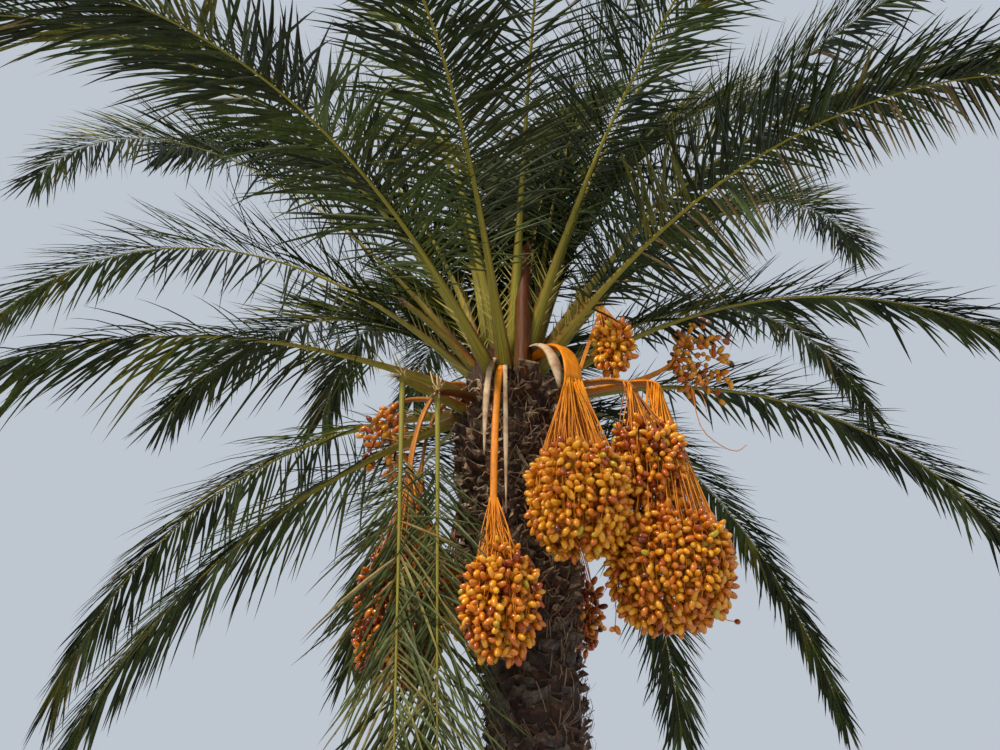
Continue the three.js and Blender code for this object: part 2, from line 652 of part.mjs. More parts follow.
for (const row of [...BUNCHES, ...SPARSE_BUNCHES]) {
  const bunch = bunchSolid(row, cutters);
  claim(bunch.solid, row.name);
  cutters.push(bunch.clearance);
  addPiece(row.name, bunch.solid, COLOURS.fruit);
}
for (const row of SPATHES) {
  const spathe = spatheSolid(row, cutters);
  claim(spathe, row.name);
  addPiece(row.name, spathe, COLOURS.spathe);
}

growLeaflets([...hung, ...rachises]);
for (const rachis of [...rachises, ...hung]) {
  const colour = rachis.row.start ? COLOURS.hung : COLOURS.frond;
  const cutter = Manifold.union(rachis.cutters);
  for (const { name, solid } of frondParts(rachis)) addPiece(name, solid.subtract(cutter), colour);
}

export default tree;
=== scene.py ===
# A fruiting date palm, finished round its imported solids. Metres, +Z up, the fruiting side towards -Y.
# The origin is the middle of the flat cut under the trunk.
import math

import bmesh
import bpy
import numpy as np
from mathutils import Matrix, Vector, noise


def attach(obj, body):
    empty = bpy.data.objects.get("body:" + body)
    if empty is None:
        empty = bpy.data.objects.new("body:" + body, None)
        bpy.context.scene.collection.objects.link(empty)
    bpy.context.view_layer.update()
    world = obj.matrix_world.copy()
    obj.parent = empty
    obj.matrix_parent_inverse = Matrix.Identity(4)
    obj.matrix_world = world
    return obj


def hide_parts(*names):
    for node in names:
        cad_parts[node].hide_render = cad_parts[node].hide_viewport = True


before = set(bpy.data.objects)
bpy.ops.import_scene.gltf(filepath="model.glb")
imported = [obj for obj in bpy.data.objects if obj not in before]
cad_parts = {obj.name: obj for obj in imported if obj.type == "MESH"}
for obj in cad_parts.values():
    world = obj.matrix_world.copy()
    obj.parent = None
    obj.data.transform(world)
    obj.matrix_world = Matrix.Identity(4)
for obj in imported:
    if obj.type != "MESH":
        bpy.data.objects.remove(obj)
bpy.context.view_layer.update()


# Trunk core
# A date palm's stem is packed brown fibre, without bark. It leans to the left, flares at the foot,
# swells below the crown, and ends in the blunt bud that the fronds stand on.
HUB = Vector((-0.28, 0.0, 3.9))
TRUNK_TOP = 4.12
LEAN_AT_HUB, LEAN_POWER = -0.298, 1.04
STEM_RADIUS = 0.152
FLARE, FLARE_FADE = 0.093, 0.15  # how much wider the foot is, and the height over which that fades
BOLE_FROM, BOLE_OVER, BOLE_SWELLING = 2.9, 0.35, 0.036
CONE_FROM, CONE_HEIGHT, CONE_RADIUS = 3.77, 0.32, 0.205
BUD_FROM, BUD_RADIUS, BUD_HEIGHT, BUD_ROUNDING = 4.09, 0.095, 0.05, 0.045
CORE_SIDES, CORE_RINGS = 80, 280
CORE_DEPTH = 0.006  # the core lies this far inside the cut leaf bases' feet
FIBRE_RELIEF = 0.007
FLAT_FOOT = 0.05  # height over which the relief sets in, above the flat cut


def clamp(share):
    return min(max(share, 0), 1)


def linear(hex_colour):
    """sRGB hex as the linear colour that a shader takes."""
    parts = [int(hex_colour[i:i + 2], 16) / 255 for i in (1, 3, 5)]
    return [p / 12.92 if p <= 0.04045 else ((p + 0.055) / 1.055) ** 2.4 for p in parts] + [1.0]


class Finish:
    """A procedural material. Each step adds one node and gives its output, for the next to take."""

    def __init__(self, name, **shader_values):
        self.material = bpy.data.materials.new(name)
        self.material.use_nodes = True
        self.shader = self.material.node_tree.nodes["Principled BSDF"]
        for socket, value in shader_values.items():
            self.shader.inputs[socket.replace("_", " ")].default_value = value
        self.place = self.add("TexCoord", "Object", {})

    def add(self, kind, output, inputs, **settings):
        """Adds one node with its settings. Each input takes a value, or another node's output."""
        node = self.material.node_tree.nodes.new("ShaderNode" + kind)
        for name, value in settings.items():
            setattr(node, name, value)
        for name, value in inputs.items():
            if isinstance(value, bpy.types.NodeSocket):
                self.material.node_tree.links.new(value, node.inputs[name])
            else:
                node.inputs[name].default_value = value
        return node.outputs[output]

    def drawn_out(self, place, *scale):
        return self.add("Mapping", 0, {"Vector": place, "Scale": scale})

    def noise(self, place, scale, detail, roughness=0.5):
        return self.add("TexNoise", 0, {
            "Vector": place, "Scale": scale, "Detail": detail, "Roughness": roughness})

    def work_out(self, operation, *values):
        return self.add("Math", 0, dict(enumerate(values)), operation=operation)

    def ramp(self, value, low, high, top=1.0):
        """0 where the value is low, top where it is high, and evenly between."""
        return self.add("MapRange", 0, {0: value, 1: low, 2: high, 4: top})

    def mix(self, share, *colours):
        """The first colour where the share is 0 and the second where it is 1: hex or an output."""
        first, second = (linear(colour) if isinstance(colour, str) else colour for colour in colours)
        return self.add("Mix", 2, {0: share, 6: first, 7: second}, data_type="RGBA")

    def done(self, colour, relief=None, strength=0.0, distance=0.0):
        """Gives the shader its colour, and its bumps where there is a relief."""
        self.material.node_tree.links.new(colour, self.shader.inputs["Base Color"])
        if relief is not None:
            bump = self.add("Bump", 0, {"Height": relief, "Strength": strength, "Distance": distance})
            self.material.node_tree.links.new(bump, self.shader.inputs["Normal"])
        return self.material


def new_piece(name, mesh, materials, replaced=()):
    """Puts a finished mesh in the scene, riding on the rooted tree."""
    mesh.name = name
    for material in materials:
        mesh.materials.append(material)
    piece = bpy.data.objects.new(name, mesh)
    bpy.context.scene.collection.objects.link(piece)
    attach(piece, "root")
    if replaced:
        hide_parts(*replaced)


def start_shape():
    """An empty shape that keeps the UVs of the grids rolled into it."""
    bm = bmesh.new()
    bm.loops.layers.uv.new("UVMap")
    return bm


def finished_mesh(bm):
    """Closes the open ends, turns the faces outwards and writes the mesh."""
    open_edges = [edge for edge in bm.edges if edge.is_boundary]
    bmesh.ops.holes_fill(bm, edges=open_edges, sides=0)
    bmesh.ops.recalc_face_normals(bm, faces=bm.faces)
    for face in bm.faces:
        face.smooth = True
    mesh = bpy.data.meshes.new("shape")
    bm.to_mesh(mesh)
    bm.free()
    return mesh


def roll_tube(bm, around, along, place, material_index=0):
    """Rolls a flat grid into a tube: place takes a share round and a share along, both 0 to 1."""
    made = bmesh.ops.create_grid(bm, x_segments=around, y_segments=along, size=1, calc_uvs=True)
    for vert in made["verts"]:
        vert.co = place((vert.co.x + 1) / 2, (vert.co.y + 1) / 2)
    for face in {face for vert in made["verts"] for face in vert.link_faces}:
        face.material_index = material_index
    bmesh.ops.remove_doubles(bm, verts=made["verts"], dist=1e-6)


def compass(turn):
    """The level directions outwards and across at a turn in radians."""
    return Vector((math.cos(turn), math.sin(turn), 0)), Vector((-math.sin(turn), math.cos(turn), 0))


def trunk_axis(z):
    return LEAN_AT_HUB * (max(z, 0.0) / HUB.z) ** LEAN_POWER


def trunk_radius(z):
    """The clean radius, with the foot's flare, the swelling under the crown and the bud's cone."""
    if z >= BUD_FROM:
        return BUD_RADIUS - BUD_ROUNDING * (z - BUD_FROM) / BUD_HEIGHT
    if z > CONE_FROM:
        return CONE_RADIUS + (BUD_RADIUS - CONE_RADIUS) * clamp((z - CONE_FROM) / CONE_HEIGHT)
    bole = clamp((z - BOLE_FROM) / BOLE_OVER)
    return STEM_RADIUS + FLARE * math.exp(-z / FLARE_FADE) + BOLE_SWELLING * bole * bole * (3 - 2 * bole)


def core_point(around, along):
    z = TRUNK_TOP * along
    outward, _ = compass(2 * math.pi * (around % 1.0))
    seen = Vector((outward.x * 4, outward.y * 4, z * 14))
    relief = FIBRE_RELIEF * noise.noise(seen) + 0.5 * FIBRE_RELIEF * noise.noise(seen * 3.1)
    radius = trunk_radius(z) - CORE_DEPTH + relief * clamp(z / FLAT_FOOT)
    return Vector((trunk_axis(z), 0, z)) + outward * radius


def palm_fibre():
    """Matt, with rust-brown strands that run up the stem; painted shade makes it almost black in the folds
    between them.
    """
    fibre = Finish("Palm fibre with painted fold shade", Roughness=0.92)
    strands = fibre.noise(fibre.drawn_out(fibre.place, 1, 1, 0.22), 160, 6)
    worn = fibre.ramp(fibre.noise(fibre.place, 9, 3), 0.5, 0.72)
    # Where the strands' relief is low the colour is near-black: painted shade in the folds.
    colour = fibre.mix(worn, fibre.mix(strands, "#0c0704", "#4a2c1b"), "#2e241d")
    return fibre.done(colour, strands, 0.8, 0.006)


bm = start_shape()
roll_tube(bm, CORE_SIDES, CORE_RINGS, core_point)
new_piece("trunk_core", finished_mesh(bm), [palm_fibre()], ["trunk"])


# Cut leaf bases on the trunk
# Every frond that was cut off leaves its stiff base behind as a thin curled lip, set in close spiral
# rows. The young ones under the crown are torn and grey at the rim, the old ones are worn to knobs.
# Each rim is paler than its lip. Part of that is its own bleached colour, and part is painted
# highlight: light on the rim, painted onto its outward face.
BASE_WIDTH = 0.078
BASE_HEIGHT = 0.029
BASE_WIDTHS, BASE_LIPS, BASE_HEIGHTS = (0.60, 1.25), (0.35, 1.30), (0.6, 1.2)  # how much they vary
BASE_PITCH = 0.88  # of a width, from one base to the next in its row
BASE_SINK = 0.004
BIG_SHARE, BIG = 0.07, [1.2, 1.1, 1.9]  # some young ones stand out, by so much in each direction
TINT_SHARES = [0.30, 0.42, 0.28]
YOUNG_ROW, OLD_ROW = 0.030, 0.046  # between two rows
YOUNG_LIP, OLD_LIP = 0.042, 0.034  # how far a lip stands out
BASE_FIRST, BASE_LAST = 0.06, 3.84  # heights of the first and the last row
LOWEST_FOOT, HIGHEST_RIM = 0.02, 3.93
OLD_BELOW, YOUNG_OVER, YOUNG_FROM = 2.85, 0.30, 0.4
ROW_TURN = 0.11  # of each row against the last, in radians
TURN_JITTER, HEIGHT_JITTER, ROW_JITTER = 0.05, 0.010, (0.92, 1.08)
CRUMPLE, YOUNG_CRUMPLE, CRUMPLED_FROM = 0.18, 0.06, 0.3  # the young crumple more, above this share of the height
ROLL, TILT = 0.26, 0.35
spread = np.random.default_rng(11)


def joined_copies(points, faces, tints, apart=(), apart_tint=0, smooth=False):
    """One mesh of many small copies. points is copies x corners x 3, tints the material of each copy.
    The faces in apart have one material of their own on every copy."""
    copies, corners = points.shape[:2]
    mesh = bpy.data.meshes.new("copies")
    mesh.vertices.add(copies * corners)
    mesh.vertices.foreach_set("co", points.reshape(-1).astype(np.float32))
    loops = np.concatenate(faces)
    all_loops = (loops[None, :] + np.arange(copies)[:, None] * corners).reshape(-1)
    all_sizes = np.tile([len(face) for face in faces], copies)
    mesh.loops.add(len(all_loops))
    mesh.loops.foreach_set("vertex_index", all_loops.astype(np.int32))
    mesh.polygons.add(len(all_sizes))
    starts = np.concatenate([[0], np.cumsum(all_sizes)[:-1]])
    mesh.polygons.foreach_set("loop_start", starts.astype(np.int32))
    index = np.repeat(np.asarray(tints), len(faces)).reshape(copies, len(faces))
    index[:, list(apart)] = apart_tint
    mesh.polygons.foreach_set("material_index", index.reshape(-1).astype(np.int32))
    mesh.polygons.foreach_set("use_smooth", np.full(len(all_sizes), smooth))
    mesh.update(calc_edges=True)
    mesh.validate()
    return mesh


def shape_arrays(bm):
    """A small bmesh shape as its corner points and faces."""
    bm.verts.index_update()
    points = np.array([vert.co[:] for vert in bm.verts])
    faces = [[vert.index for vert in face.verts] for face in bm.faces]
    bm.free()
    return points, faces


def leaf_base_shape():
    """A thin lip 1 wide and 1 high that hugs the stem at its foot and flares out by 1 at its torn rim."""
    sink, thickness, narrowing, hug, ears, rim_from = 0.10, 0.11, 0.14, 0.50, 0.30, 0.84
    bm = bmesh.new()
    made = bmesh.ops.create_grid(bm, x_segments=4, y_segments=3, size=1)
    for vert in made["verts"]:
        across, up = vert.co.x, ((vert.co.y + 1) / 2) ** 0.6
        out = (up ** 1.7) * (1 - hug * across * across) - sink
        vert.co = Vector((across * 0.5 * (1 - narrowing * up), out, up + ears * up * across * across))
    bmesh.ops.solidify(bm, geom=bm.faces[:], thickness=thickness)
    bmesh.ops.recalc_face_normals(bm, faces=bm.faces)
    bm.faces.ensure_lookup_table()
    # The rim faces get a paler material: bleached fibre, with painted highlight on the outward face
    torn = [face.index for face in bm.faces if face.calc_center_median().z > rim_from]
    return *shape_arrays(bm), torn


def on_trunk(points, z, turn, out):
    """Lays points given as across, outward and up against the trunk at a height and a turn."""
    outward = np.array([math.cos(turn), math.sin(turn), 0])
    across = np.array([-math.sin(turn), math.cos(turn), 0])
    radius = trunk_radius(min(z, CONE_FROM)) + out
    foot = np.array([trunk_axis(z), 0, z]) + outward * radius
    return foot + points @ np.array([across, outward, [0, 0, 1]])


def one_leaf_base(youth):
    """A leaf base of its own size, crumpled at the rim, rolled and tilted. Youth goes from 0 to 1."""
    size = np.array([
        BASE_WIDTH * spread.uniform(*BASE_WIDTHS),
        (OLD_LIP + (YOUNG_LIP - OLD_LIP) * youth) * spread.uniform(*BASE_LIPS),
        BASE_HEIGHT * spread.uniform(*BASE_HEIGHTS),
    ])
    if spread.random() < BIG_SHARE * youth:
        size *= BIG
    pairs = len(base_points) // 2  # the shell's two sides keep the same order of corners
    torn = spread.normal(0, CRUMPLE + YOUNG_CRUMPLE * youth, (pairs, 3)) * [0.5, 1, 1]
    crumple = 1 + np.concatenate([torn, torn]) * (base_points[:, 2:] > CRUMPLED_FROM)
    shaped = base_points * crumple * size
    roll, tilt = spread.normal(0, ROLL), spread.normal(0, TILT)
    shaped[:, 0] += shaped[:, 2] * tilt
    shaped[:, 2] += shaped[:, 0] * roll
    return shaped, size[2]


base_points, base_faces, rim_faces_with_painted_highlight = leaf_base_shape()
bases = {"young": [], "old": []}
base_tints = {"young": [], "old": []}
row = 0
z = BASE_FIRST
while z < BASE_LAST:
    radius = trunk_radius(min(z, CONE_FROM))
    count = round(2 * math.pi * radius / (BASE_WIDTH * BASE_PITCH))
    youth = clamp((z - OLD_BELOW) / YOUNG_OVER)
    age = "young" if youth > YOUNG_FROM else "old"
    for i in range(count):
        turn = 2 * math.pi * (i + 0.5 * (row % 2)) / count
        turn = turn + spread.normal(0, TURN_JITTER) + row * ROW_TURN
        shaped, tall = one_leaf_base(youth)
        height = z + spread.normal(0, HEIGHT_JITTER)
        if height < LOWEST_FOOT or height + tall * 1.5 > HIGHEST_RIM:
            continue
        bases[age].append(on_trunk(shaped, height, turn, -BASE_SINK))
        base_tints[age].append(spread.choice(3, p=TINT_SHARES))
    z += (OLD_ROW + (YOUNG_ROW - OLD_ROW) * youth) * spread.uniform(*ROW_JITTER)
    row += 1


def weathered_base(name, pale, dark):
    """Dead leaf base: woody fibre with darker grain that runs out to the cut.
    The rim's paler copy is bleached at the lip and also carries painted highlight.
    """
    wood = Finish(name, Roughness=0.85)
    grain = wood.noise(wood.place, 150, 8, 0.7)
    blotched = wood.work_out("MULTIPLY", grain, wood.noise(wood.place, 26, 3))
    return wood.done(wood.mix(wood.ramp(blotched, 0.15, 0.36), dark, pale), grain, 0.7, 0.004)


# Name, pale and dark colour; the last of each age is for its rim, paler as bleached fibre and as painted
# highlight
BASE_FINISHES = {
    "young": [
        ("Leaf base bleached grey", "#7c6450", "#20150c"),
        ("Leaf base grey brown", "#5a402c", "#150d07"),
        ("Leaf base rust brown", "#683c20", "#1c0f07"),
        ("Leaf base torn rim with painted highlight", "#ae967c", "#46341f"),
    ],
    "old": [
        ("Old leaf base dark brown", "#46342a", "#120b07"),
        ("Old leaf base red brown", "#543322", "#170d08"),
        ("Old leaf base grey knob", "#6e6158", "#231a14"),
        ("Old leaf base worn rim with painted highlight", "#6a5644", "#261a10"),
    ],
}
for age, found in bases.items():
    base_mats = [weathered_base(*finish) for finish in BASE_FINISHES[age]]
    # The rim faces take the last material, which is partly bleach and partly painted highlight
    mesh = joined_copies(np.array(found), base_faces, base_tints[age], rim_faces_with_painted_highlight, len(base_mats) - 1)
    new_piece(f"trunk_leaf_bases_{age}", mesh, base_mats, ["trunk"])


# Loose fibre
# Torn strips of the woven sheath that once wrapped each leaf base stick out between the lips.
# They are thin brown ribbons, drawn about twice as wide as life so that they show.
FIBRE_COUNT = 2600
FIBRE_FROM, FIBRE_DROP = 3.84, 3.7  # the highest one, and how far below it the lowest lies
STRIP_LENGTHS, STRIP_STANDS, STRIP_HALVES = (0.04, 0.11), (0.006, 0.034), (0.0009, 0.0022)
STRIP_LIFT, STRIP_LEAN = 0.004, 0.5
strip_t = np.linspace(0, 1, 4)
strips = []
for _ in range(FIBRE_COUNT):
    z = FIBRE_FROM - FIBRE_DROP * spread.random() ** 1.5
    turn = spread.uniform(0, 2 * math.pi)
    length = spread.uniform(*STRIP_LENGTHS)
    lean = spread.normal(0, STRIP_LEAN)
    stand = spread.uniform(*STRIP_STANDS)
    half = spread.uniform(*STRIP_HALVES)
    across = lean * length * strip_t
    out = STRIP_LIFT + stand * np.sin(strip_t * spread.uniform(1.2, 2.9))
    up = length * (strip_t - 0.4) * math.cos(lean)
    left = np.stack([across - half, out, up], 1)
    right = np.stack([across + half, out + half, up], 1)
    strips.append(on_trunk(np.concatenate([left, right]), z, turn, 0.0))
strip_faces = [[k, k + 4, k + 5, k + 1] for k in range(3)]
strip_tints = spread.integers(0, 3, FIBRE_COUNT)


def dry_strip(name, pale, dark):
    """Sheath fibre: matt, rust to straw, with darker lengths."""
    fibre = Finish(name, Roughness=0.9)
    return fibre.done(fibre.mix(fibre.noise(fibre.place, 35, 2), dark, pale))


strip_mats = [
    dry_strip("Fibre rust brown", "#7a4c30", "#301c12"),
    dry_strip("Fibre dark brown", "#4a3426", "#180f0a"),
    dry_strip("Fibre straw", "#948064", "#4c3c2c"),
]
new_piece("trunk_fibre", joined_copies(np.array(strips), strip_faces, strip_tints), strip_mats,
          ["trunk"])


# Frond ribs
# A frond's stalk and rib are one keeled green limb, flat above and ridged below. Its foot is broad
# and leafless with orange-brown edges, and it slims to a whip at the tip.
# Name, azimuth, rise, bend, sway, length: degrees from +X and from level, then metres
FRONDS = [
    ("left_low", 178, -25, 45, -7, 1.90),
    ("left_short", 152, 10, 78, -4, 2.40),
    ("left_level", 206, 8, 88, -3, 2.85),
    ("left_arching", 178, 44, 70, -30, 2.60),
    ("left_curled", 218, 51, 108, -4, 2.75),
    ("left_long", 180, 54, 50, -50, 3.35),
    ("front_left", 248, 17, 68, -8, 2.85),
    ("front", 263, 23, 75, -4, 2.75),
    ("front_steep", 276, 62, 50, 0, 2.70),
    ("left_steep", 215, 78, 38, 0, 2.70),
    ("right_steep", 327, 71, 55, 3, 2.80),
    ("right_raised", 350, 58, 34, 0, 2.80),
    ("right_near_low", 313, 32, 100, 2, 2.80),
    ("right_near_high", 330, 52, 106, 4, 2.75),
    ("right_level", 357, 33, 112, 1, 2.75),
    ("right_drooping", 17, 20, 105, -4, 2.80),
    ("right_far", 33, 45, 67, 23, 2.95),
    ("right_far_high", 21, 56, 52, 40, 3.20),
    ("right_far_arching", 31, 73, 62, 8, 3.50),
    ("back_right_long", 59, 26, 95, -16, 3.30),
    ("back_right_low", 67, 19, 81, 8, 2.90),
    ("back_left_curled", 124, 61, 100, -10, 2.35),
    ("back_low", 90, 12, 78, 0, 2.50),
    ("back_left_low", 110, 22, 76, 0, 2.50),
    ("back_raised", 82, 46, 68, 0, 2.60),
    ("back_left_raised", 104, 56, 72, 0, 2.60),
    ("back_left_level", 141, 48, 80, 0, 2.40),
    ("back_left_steep", 155, 68, 60, 0, 2.70),
    ("back_steep", 88, 76, 48, 0, 2.70),
    ("back_right_steep", 60, 82, 44, 0, 2.70),
    ("left_upright", 186, 72, 74, 0, 2.60),
    ("front_left_steep", 242, 66, 58, 0, 2.60),
    ("front_right_steep", 300, 54, 70, 0, 2.60),
    ("right_upright", 340, 84, 42, 0, 2.70),
]
SPLIT_BEND = 100  # fronds that bend this far are two solids, base and tip
BEND_POWER = 1.35
PERCH_FROM, PERCH_OVER = -10, 90  # degrees of rise; the steeper a frond, the further up the cone it stands
LINE_STEPS = 96
RIB_SIDES = 10
RIB_STEPS = 44
RIB_BUTT = 0.06  # of the foot hidden in the bud
RIB_HALF, FOOT_FLARE, FLARE_LENGTH = 0.0056, 0.0310, 0.36  # half width past the foot, and what the foot adds
RIB_TAPER, TAPER_POWER = 0.75, 1.6
CONE_FOOT, CONE_SLIMMING = -0.13, 0.11  # height from the hub, and how much the radius loses on the way up
# Points round the rib against its half width, from one edge over the flat top and round the keel
RIB_SECTION = [
    (1.0, 0.0), (0.72, 0.15), (0.28, 0.09), (-0.28, 0.09), (-0.72, 0.15),
    (-1.0, 0.0), (-0.74, -0.40), (-0.30, -0.86), (0.30, -0.86), (0.74, -0.40),
]


def on_cone(azimuth, share, height):
    """A place on the bud's cone, from the hub; the share says how far up the cone has slimmed."""
    turn, radius = math.radians(azimuth), CONE_RADIUS - CONE_SLIMMING * share
    return radius * math.cos(turn), radius * math.sin(turn), height


class RibLine:
    """The middle line of a rib, with its frame, at any shares of its length."""

    def __init__(self, azimuth, rise, bend, sway, length, start=None):
        self.azimuth, self.rise, self.bend, self.sway, self.length = azimuth, rise, bend, sway, length
        if start is None:
            perch = clamp((rise - PERCH_FROM) / PERCH_OVER)
            start = on_cone(azimuth, perch, CONE_FOOT + CONE_HEIGHT * perch)
        along = self.frame((np.arange(LINE_STEPS) + 0.5) / LINE_STEPS)[0]
        steps = np.cumsum(along * length / LINE_STEPS, axis=0)
        self.places = np.vstack([np.zeros(3), steps]) + np.array(start) + np.array(HUB)

    def frame(self, shares):
        """The directions along the rib, to its left and over it."""
        curl = np.clip(shares, 0, 1) ** BEND_POWER
        elevation = np.radians(self.rise - self.bend * curl)
        heading = np.radians(self.azimuth + self.sway * curl)
        level = np.cos(elevation)
        along = np.stack([level * np.cos(heading), level * np.sin(heading), np.sin(elevation)], 1)
        left = np.stack([-np.sin(heading), np.cos(heading), 0 * heading], 1)
        return along, left, np.cross(along, left)

    def at(self, shares):
        """The points at these shares, and the frame there."""
        shares = np.asarray(shares, float)
        where = np.clip(shares, 0, 1) * LINE_STEPS
        low = np.minimum(where.astype(int), LINE_STEPS - 1)
        part = (where - low)[:, None]
        points = self.places[low] * (1 - part) + self.places[low + 1] * part
        return (points, *self.frame(shares))


def rib_half_width(distance, share):
    """The flared foot slims within half a metre or so, then the rib tapers to its tip."""
    flared = RIB_HALF + FOOT_FLARE * np.exp(-distance / FLARE_LENGTH)
    return flared * (1 - RIB_TAPER * share ** TAPER_POWER)


def add_rib(bm, line, lost=0.0, butt=RIB_BUTT, material_index=0, widths=None, steps=RIB_STEPS):
    """Rolls one rib along its line; lost is the length of foot that broke off."""
    shares = np.linspace(0, 1, steps + 1) ** 1.25
    points, along, left, over = line.at(shares)
    points[0] -= along[0] * butt
    half = rib_half_width(lost + shares * line.length, shares) if widths is None else widths(shares)

    def place(around, share):
        station = round(share * steps)
        across, up = RIB_SECTION[round(around * RIB_SIDES) % RIB_SIDES]
        corner = points[station] + half[station] * (across * left[station] + up * over[station])
        return Vector(corner)

    roll_tube(bm, RIB_SIDES, steps, place, material_index)


def rib_material(name, flesh, shade, edge, foot_share, foot_edge=1.0):
    """Living frond rib: smooth waxy skin with fine lengthwise streaks, browned along its edges."""
    rib = Finish(name, Roughness=0.5, Specular_IOR_Level=0.28)
    uv = rib.add("UVMap", 0, {}, uv_map="UVMap")
    around, along = (rib.add("SeparateXYZ", axis, {0: uv}) for axis in (0, 1))
    away = rib.work_out("ABSOLUTE", rib.work_out("SINE", rib.work_out("MULTIPLY", around, 2 * math.pi)))
    ragged = rib.work_out("MULTIPLY", rib.noise(rib.place, 22, 4), 0.7)
    near_edge = rib.ramp(rib.work_out("ADD", away, ragged), 1.12, 0.62)
    near_foot = rib.ramp(along, foot_share, 0.02)
    browned = rib.work_out("MULTIPLY", rib.work_out("MULTIPLY", near_edge, near_foot), foot_edge)
    streak = rib.noise(rib.drawn_out(uv, 40, 3, 1), 2, 6, 0.7)
    green = rib.mix(rib.ramp(streak, 0.36, 0.62), shade, flesh)
    return rib.done(rib.mix(browned, green, edge), streak, 0.25, 0.002)


def nodes_of(rows):
    """The solids that some fronds stand for; a frond that bends far is two, base and tip."""
    ends = [(row[0], ("_base", "_tip") if row[3] >= SPLIT_BEND else ("",)) for row in rows]
    return [f"frond_{name}{end}" for name, found in ends for end in found]


rib_mat = rib_material("Frond rib yellow green", "#a0973a", "#5a5818", "#64300c", 0.42)
lines = {row[0]: RibLine(*row[1:]) for row in FRONDS}
crown = {side: [row for row in FRONDS if row[0].startswith(side)]
         for side in ("front", "left", "right", "back")}
for side, rows in crown.items():
    bm = start_shape()
    for row in rows:
        add_rib(bm, lines[row[0]])
    new_piece(f"frond_ribs_{side}", finished_mesh(bm), [rib_mat], nodes_of(rows))


# Leaflets
# A date palm's leaflets are stiff grey-green blades, folded along the middle like a gutter. They leave
# the rib in small groups that point different ways, and the lowest are short sharp spines.
PITCHES = dict(front=0.0165, left=0.0155, right=0.0135, back=0.0125)  # between two on one side
FOLD = math.radians(24)
BLADE_SHARES = np.array([0.0, 0.10, 0.34, 0.60, 0.82, 1.0])
BLADE_WIDTHS = np.array([0.42, 0.85, 1.0, 0.80, 0.46, 0.0])
# Lengths in metres, angles in degrees; droop and sag pull a leaflet and its tip down
CROWN_HABIT = dict(
    length=0.43, base_angle=66, tip_angle=20, rise=20, droop=0.20, sag=0.16, turn=44, toss=8)
WIDTHS = dict(front=0.0130, left=0.0136, right=0.0165, back=0.0175)
BARE = dict(front=0.160, left=0.130, right=0.105, back=0.090)  # share of the foot without leaflets
GROUP_RISES = np.array([-12, 8, 26, 2])  # degrees from the row's own rise, in turn
LAST_LEAFLET, LEAFLET_LIMIT = 0.985, 0.992  # shares of the rib, the first one before chance moves it
LEAFLET_SEAT = 0.8  # of the rib's half width, from its middle
SIZE_VARIES, WIDTH_VARIES, SAG_VARIES, CURVE = (-0.12, 0.07), (0.85, 1.12), (0.3, 1.7), 0.035
FIRST_SIZE, FULL_AFTER, TIP_LOSS = 0.34, 0.20, 0.42  # the size against the longest, along the rib
FIRST_WIDTH, WIDE_AFTER = 0.62, 0.15
# A hanging row: where along the rib it sets in, and what it then does to its leaflets
HANGING = dict(after=0.02, over=0.36, shorter=0.50, slimmer=0.30, inward=0.75, weight=1.6, dry=0.5)
# The outer fronds on the right are slim, and the lowest three on the left let their leaflets hang
SLIM = dict(length=0.31, base_angle=52, tip_angle=18)
LIMP = dict(length=0.38, droop=0.55, sag=0.20)
OTHER_HABITS = {
    "right_level": SLIM, "right_drooping": SLIM, "right_far": SLIM,
    "back_right_long": SLIM, "left_low": LIMP, "left_level": LIMP,
    "left_short": LIMP,
}
HANGING_ROW = "right_near_low"  # the frond whose far row hangs, short, narrow and half dry
SPRAY = 9  # leaflets in a row that share one colour
DRY_SHARE, DRY_AT_TIP = 0.004, 0.02
GREENS = np.array([0.46, 0.34, 0.11, 0.09])  # shares of the first four materials on a low frond
YOUNG_GREENS = np.array([-0.08, 0.10, 0, -0.02])  # what an upright one adds
UPRIGHT = 80  # degrees
SIDE_SEED = 100


def blade_faces():
    faces = []
    for k in range(len(BLADE_SHARES) - 2):
        for edge in (0, 1):
            a = 3 * k + edge
            faces.append([a, a + 1, a + 4, a + 3])
    last = 3 * (len(BLADE_SHARES) - 2)
    tip = last + 3
    return faces + [[last, last + 1, tip], [last + 1, last + 2, tip]]


